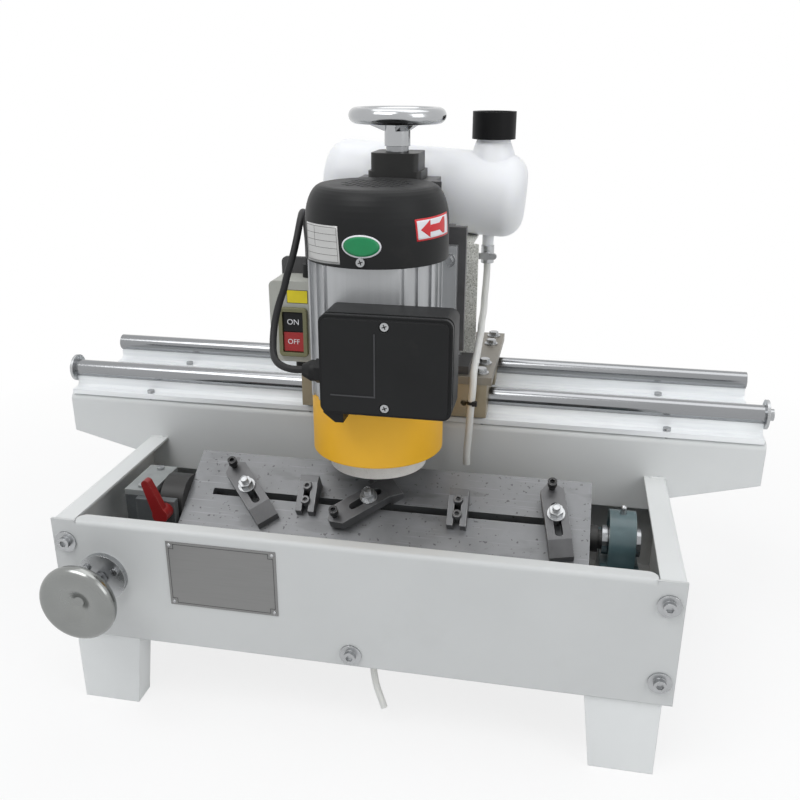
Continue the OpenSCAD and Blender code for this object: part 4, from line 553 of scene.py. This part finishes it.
def cover_disc(name, look, angle, z, half_w, half_h, low, high):
    """An oval label on the fan cover."""
    mesh = bmesh.new()
    steps, rings = 40, 4
    layers = []
    for proud in (low, high):
        centre = mesh.verts.new(on_cover(angle, z, proud))
        circles = []
        for ring in range(1, rings + 1):
            share = ring / rings
            circles.append([mesh.verts.new(on_cover(
                angle + math.degrees(half_w * share * math.cos(2 * math.pi * s / steps) / COVER_R),
                z + half_h * share * math.sin(2 * math.pi * s / steps), proud)) for s in range(steps)])
        for s in range(steps):
            n = (s + 1) % steps
            mesh.faces.new((centre, circles[0][s], circles[0][n]))
            for inner, outer in zip(circles, circles[1:]):
                mesh.faces.new((inner[s], outer[s], outer[n], inner[n]))
        layers.append(circles[-1])
    for s in range(steps):
        n = (s + 1) % steps
        mesh.faces.new((layers[0][s], layers[0][n], layers[1][n], layers[1][s]))
    piece(name, mesh, "head", look, True)


# The oval label's middle, as an angle and a height
OVAL = (0.2, 485.4)
cover_disc("label_oval_edge", "label_white", *OVAL, 18.4, 10.4, *UNDER)
cover_disc("label_oval", "label_green", *OVAL, 16.9, 9.0, *OVER)

ARROW = [(41.6, 508.1), (84.0, 510.0), (85.0, 489.4), (43.5, 488.3)]
cover_patch("sticker_edge", "label_red", ARROW, *UNDER)
cover_patch("sticker", "label_white", inset(ARROW, 0.035, 0.08), *OVER)


def arrow():
    """A plain arrow for the wheel's direction, on its sticker."""
    mesh = bmesh.new()
    (a0, z0), (a1, z1), _, (_, z3) = inset(ARROW, 0.12, 0.10)
    centre_z = (z0 + z3) / 2
    tall = abs(z0 - z3)
    # Half heights along the arrow, as shares of the sticker's height, joined by straight lines
    shape = [(0.0, 0.005), (0.30, 0.50), (0.3001, 0.20), (0.66, 0.20), (0.82, 0.46), (0.92, 0.46)]
    columns = [shape[0]]
    for (u0, h0), (u1, h1) in zip(shape, shape[1:]):
        count = max(1, round((u1 - u0) / 0.03))
        columns += [(u0 + (u1 - u0) * k / count, h0 + (h1 - h0) * k / count) for k in range(1, count + 1)]
    rows = 10

    def spot(u, half, k, proud):
        """A corner at share u of the arrow's length, in row k across it."""
        height = centre_z + (z1 - z0) * u + (2 * k / rows - 1) * half * tall
        return mesh.verts.new(on_cover(a0 + (a1 - a0) * u, height, proud))

    layers = [[[spot(u, half, k, proud) for k in range(rows + 1)] for u, half in columns]
              for proud in (0.2, 0.45)]
    for layer in layers:
        for one, two in zip(layer, layer[1:]):
            for k in range(rows):
                mesh.faces.new((one[k], two[k], two[k + 1], one[k + 1]))
    low, high = layers
    for i in range(len(columns) - 1):
        for k in (0, rows):
            mesh.faces.new((low[i][k], low[i + 1][k], high[i + 1][k], high[i][k]))
    for i in (0, -1):
        for k in range(rows):
            mesh.faces.new((low[i][k], low[i][k + 1], high[i][k + 1], high[i][k]))
    piece("sticker_arrow", mesh, "head", "label_red", True)


arrow()


# Front-facing plates: outlines in (x, z) at a given distance from the front panel


def front_plate(name, look, body, outline, back_y, front_y):
    mesh = bmesh.new()
    slab(mesh, outline, back_y, front_y)
    piece(name, mesh, body, look)


def rounded_outline(x0, x1, z0, z1, r):
    points = []
    steps = 5
    corners = ((x1 - r, z1 - r, 0), (x0 + r, z1 - r, 90), (x0 + r, z0 + r, 180), (x1 - r, z0 + r, 270))
    for cx, cz, start in corners:
        for s in range(steps + 1):
            a = math.radians(start + 90 * s / steps)
            points.append((cx + r * math.cos(a), cz + r * math.sin(a)))
    return points


# The outlines of the switch's bare label, with and without its edge
LABEL_EDGE = rounded_outline(-106.6, -83.4, 402.6, 417.0, 0.8)
LABEL_FACE = rounded_outline(-106.0, -84.0, 403.2, 416.4, 0.6)
front_plate("label_switch_edge", "label_line", "head", LABEL_EDGE, back_y=170.02, front_y=169.8)
front_plate("label_switch", "label_yellow", "head", LABEL_FACE, back_y=169.9, front_y=169.7)


# The push buttons' middle, the plane of their lettering, and half of the lettering's thickness
BUTTON_X, BUTTON_Y, LETTER_DEPTH = -100.0, 167.95, 0.12


def lettering(name, words, size, z, body):
    """Flat lettering on a push button, as a mesh that faces the front."""
    data = bpy.data.curves.new(name + "_words", "FONT")
    data.body = words
    data.size = size * MM
    data.align_x = data.align_y = "CENTER"
    data.extrude = LETTER_DEPTH * MM
    data.resolution_u = 4
    letters = bpy.data.objects.new(name + "_words", data)
    scene.collection.objects.link(letters)
    bpy.context.view_layer.update()
    flat = bpy.data.meshes.new_from_object(letters.evaluated_get(bpy.context.evaluated_depsgraph_get()))
    bpy.data.objects.remove(letters)
    flat.name = name
    flat.transform(Matrix.Translation(at(BUTTON_X, BUTTON_Y, z)) @ FACE_FRONT)
    flat.materials.clear()
    flat.materials.append(LOOK["label_white"])
    obj = bpy.data.objects.new(name, flat)
    scene.collection.objects.link(obj)
    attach(obj, body)


lettering("letters_on", "ON", size=8.6, z=382.3, body="on_button")
lettering("letters_off", "OFF", size=7.8, z=360.7, body="off_button")


def plate_frame():
    """The bare nameplate's printed border with stepped-in corners, and its rivets."""
    mesh = bmesh.new()
    middle, half, bottom, top = -128, 56, 132, 203
    border, rivet_in = 2.6, 3.6
    x0, x1, z0, z1 = middle - half + border, middle + half - border, bottom + border, top - border
    step, wide = 5.0, 0.55
    path = [(x0 + step, z0), (x1 - step, z0), (x1 - step, z0 + step), (x1, z0 + step),
            (x1, z1 - step), (x1 - step, z1 - step), (x1 - step, z1), (x0 + step, z1),
            (x0 + step, z1 - step), (x0, z1 - step), (x0, z0 + step), (x0 + step, z0 + step)]
    grow = wide / 2
    for (xa, za), (xb, zb) in zip(path, path[1:] + path[:1]):
        lo_x, hi_x, lo_z, hi_z = min(xa, xb), max(xa, xb), min(za, zb), max(za, zb)
        line = box_outline(lo_x - grow, hi_x + grow, lo_z - grow, hi_z + grow)
        slab(mesh, line, back_y=-0.7, front_y=-0.9)
    piece("nameplate_border", mesh, "frame", "label_line")
    mesh = bmesh.new()
    dome = [(1.9, 0.0), (1.8, 0.5), (1.35, 0.95), (0.7, 1.2), (0.05, 1.25), (0.05, 0.0)]
    rivet_y = -0.75
    for x in (middle - half + rivet_in, middle + half - rivet_in):
        for z in (bottom + rivet_in, top - rivet_in):
            turned(mesh, dome, Matrix.Translation(at(x, rivet_y, z)) @ FACE_FRONT, 16)
    piece("nameplate_rivets", mesh, "frame", "zinc", True)


plate_frame()


def cover_ribs():
    """The raised L on the terminal cover."""
    mesh = bmesh.new()
    for leg in ((19.6, 21.0, 357.2, 416.6), (-20.5, 19.6, 357.2, 358.6)):
        slab(mesh, box_outline(*leg), back_y=25.2, front_y=24.2)
    piece("terminal_cover_rib", mesh, "head", "rib_plastic")


cover_ribs()


# Left, right, lower and upper edge of the push buttons' frame
RIM = (-115.8, -84.2, 344.7, 398.3)


def switch_rim():
    """The coloured frame round the two push buttons, fitted over the box's raised rim."""
    mesh = bmesh.new()
    x0, x1, z0, z1 = RIM
    bevel, wall = 0.6, 4.4
    outer = rounded_outline(x0, x1, z0, z1, 4.2)
    crown = rounded_outline(x0 + bevel, x1 - bevel, z0 + bevel, z1 - bevel, 3.6)
    mouth = rounded_outline(x0 + wall, x1 - wall, z0 + wall, z1 - wall, 0.6)
    loops = []
    for outline, y in ((outer, 170.05), (outer, 166.2), (crown, 165.6), (mouth, 165.6), (mouth, 167.4),
                       (mouth, 170.05)):
        loops.append([mesh.verts.new(at(x, y, z)) for x, z in outline])
    for one, two in zip(loops, loops[1:] + loops[:1]):
        for i in range(len(one)):
            k = (i + 1) % len(one)
            mesh.faces.new((one[i], one[k], two[k], two[i]))
    piece("switch_rim", mesh, "head", "switch_olive")


switch_rim()


# The middles of the round screw heads that show a cross
MOTOR_HEADS = [(0.0, 60.0, 471.5), (29.0, 25.7, 423.2), (29.0, 25.7, 347.2)]
FLANGE_HEADS = [(-254.0, -9.0, 138.5), (-269.6, -9.0, 165.5), (-238.4, -9.0, 165.5)]


def painted_cross_shade(name, body, heads, long):
    """Black bars laid on round screw heads that face the front, as painted shade in their cross recesses.
    """
    mesh = bmesh.new()
    half, wide, lean = long / 2, 0.55, 0.35
    for x, y, z in heads:
        for turn in (lean, lean + math.pi / 2):
            c, n = math.cos(turn), math.sin(turn)
            bar = [(x + u * c - w * n, z + u * n + w * c) for u, w in box_outline(-half, half, -wide, wide)]
            slab(mesh, bar, back_y=y + 0.1, front_y=y - 0.04)
    # The black of the printed lines serves here as painted shade in the recesses
    piece(name, mesh, body, "label_line")


# Painted shade in the cross recesses of the motor's and the flange's screws
painted_cross_shade("motor_screw_cross_shade", "head", MOTOR_HEADS, long=4.6)
painted_cross_shade("flange_screw_cross_shade", "frame", FLANGE_HEADS, long=4.4)


def weld_beads():
    """Uneven weld beads where the side flanges meet the beam."""
    mesh = bmesh.new()
    sizes = (0.5, 1.9, 2.5, 2.0, 2.7, 1.9, 2.6, 2.1, 1.7, 0.5)
    first, pitch, seam_y, seam_z = 286.0, 2.0, 214.4, 214.8
    broad, tall = 1.2, 0.8
    around = 10
    turns = [2 * math.pi * k / around for k in range(around)]
    for side in (-1, 1):
        last = None
        for i, size in enumerate(sizes):
            ring = [mesh.verts.new(at(side * (first + pitch * i), seam_y + broad * size * math.cos(a),
                                      seam_z + tall * size * math.sin(a))) for a in turns]
            if last:
                for k in range(around):
                    n = (k + 1) % around
                    mesh.faces.new((last[k], last[n], ring[n], ring[k]))
            else:
                mesh.faces.new(ring)
            last = ring
        mesh.faces.new(last)
    piece("weld_beads", mesh, "frame", "white_paint", True)


weld_beads()


def hose_tie():
    """A cable tie round the coolant hose, with its head."""
    mesh = bmesh.new()
    ring = [(4.02, -1.6), (5.0, -1.6), (5.2, 0.0), (5.0, 1.6), (4.02, 1.6)]
    middle = at(90.1, 191.0, 297.0)
    turned(mesh, ring, Matrix.Translation(middle), 24)
    slab(mesh, box_outline(91.5, 96.5, 294.4, 299.4), back_y=190.0, front_y=185.4)
    piece("hose_tie", mesh, "carriage", "rubber")


hose_tie()

TABLE = Matrix.Translation(TABLE_PIVOT) @ Matrix.Rotation(TABLE_TILT, 4, "X")


# Thread ridges: the lowest one's height above the table's face, their pitch and half height, their
# inner and outer radius, and the slot's distance from the table's pivot line
THREAD_FROM, THREAD_PITCH, RIDGE_HALF = 27.4, 1.25, 0.55
RIDGE_FOOT, RIDGE_TOP = 3.4, 3.85
SLOT_V = 5.0


def stud_threads(body, u, name):
    """Thread ridges on a clamp's stud, above its nut."""
    mesh = bmesh.new()
    stud = TABLE @ Matrix.Translation((u * MM, SLOT_V * MM, 0.0))
    for k in range(5):
        base = TABLE_RISE + THREAD_FROM + THREAD_PITCH * k
        ridge = [(RIDGE_FOOT, base - RIDGE_HALF), (RIDGE_TOP, base), (RIDGE_FOOT, base + RIDGE_HALF)]
        turned(mesh, ridge, stud, 20)
    piece(name, mesh, body, "zinc", True)


for body, u in (("clamp_left", -137), ("clamp_middle", -4), ("clamp_right", 188)):
    stud_threads(body, u, body + "_thread")


# Stage


def white_to_view(tree):
    """1 for what the camera sees directly, in a mirror or through glass."""
    path = tree.nodes.new("ShaderNodeLightPath")
    share = path.outputs["Is Camera Ray"]
    for name in ("Is Glossy Ray", "Is Transmission Ray"):
        add = tree.nodes.new("ShaderNodeMath")
        add.operation = "MAXIMUM"
        tree.links.new(share, add.inputs[0])
        tree.links.new(path.outputs[name], add.inputs[1])
        share = add.outputs["Value"]
    return share


def make_world():
    world = bpy.data.worlds.new("studio")
    scene.world = world
    world.use_nodes = True
    tree = world.node_tree
    tree.nodes.clear()
    out = tree.nodes.new("ShaderNodeOutputWorld")
    soft = tree.nodes.new("ShaderNodeBackground")
    soft.inputs["Color"].default_value = (0.93, 0.96, 1.0, 1.0)
    soft.inputs["Strength"].default_value = 0.40
    white = tree.nodes.new("ShaderNodeBackground")
    white.inputs["Color"].default_value = (1.0, 1.0, 1.0, 1.0)
    white.inputs["Strength"].default_value = 1.0
    mix = tree.nodes.new("ShaderNodeMixShader")
    tree.links.new(white_to_view(tree), mix.inputs[0])
    tree.links.new(soft.outputs[0], mix.inputs[1])
    tree.links.new(white.outputs[0], mix.inputs[2])
    tree.links.new(mix.outputs[0], out.inputs["Surface"])


make_world()


def make_floor():
    """A plain pale floor that takes the shadow near the object and fades to white further out."""
    g = Graph("floor_white")
    diffuse = g.add("ShaderNodeBsdfDiffuse")
    tones = [(0.3, (0.90, 0.90, 0.90)), (0.7, (0.93, 0.93, 0.93))]
    g.link(g.ramp(g.noise(6.0), tones), diffuse.inputs["Color"])
    glow = g.add("ShaderNodeEmission", Strength=1.0)
    away = g.add("ShaderNodeVectorMath")
    away.operation = "LENGTH"
    g.link(g.place, away.inputs[0])
    share = g.times(white_to_view(g.tree), g.level(away.outputs["Value"], 0.80, 1.0, 0.55, 1.2))
    mix = g.add("ShaderNodeMixShader")
    g.link(share, mix.inputs[0])
    g.link(diffuse.outputs[0], mix.inputs[1])
    g.link(glow.outputs[0], mix.inputs[2])
    g.link(mix.outputs[0], g.out.inputs["Surface"])
    mesh = bmesh.new()
    bmesh.ops.create_grid(mesh, x_segments=4, y_segments=4, size=4.0)
    data = bpy.data.meshes.new("floor")
    mesh.to_mesh(data)
    mesh.free()
    data.materials.append(g.material)
    floor = bpy.data.objects.new("floor", data)
    floor.location = (0.0, 0.0, -0.0002)
    scene.collection.objects.link(floor)


make_floor()


def lamp(name, place, target, size, power):
    data = bpy.data.lights.new(name, "AREA")
    data.shape = "RECTANGLE"
    data.size, data.size_y = size
    data.energy = power
    obj = bpy.data.objects.new(name, data)
    obj.location = place
    obj.rotation_euler = (Vector(target) - Vector(place)).to_track_quat("-Z", "Y").to_euler()
    scene.collection.objects.link(obj)


lamp("key", place=(-0.7, -1.2, 2.3), target=(0.0, 0.0, 0.25), size=(1.6, 1.2), power=24.0)
lamp("fill", place=(1.7, -0.9, 1.2), target=(0.0, 0.0, 0.3), size=(1.0, 1.4), power=10.0)
lamp("top", place=(0.1, 0.35, 2.1), target=(0.0, 0.0, 0.2), size=(2.0, 1.2), power=11.0)
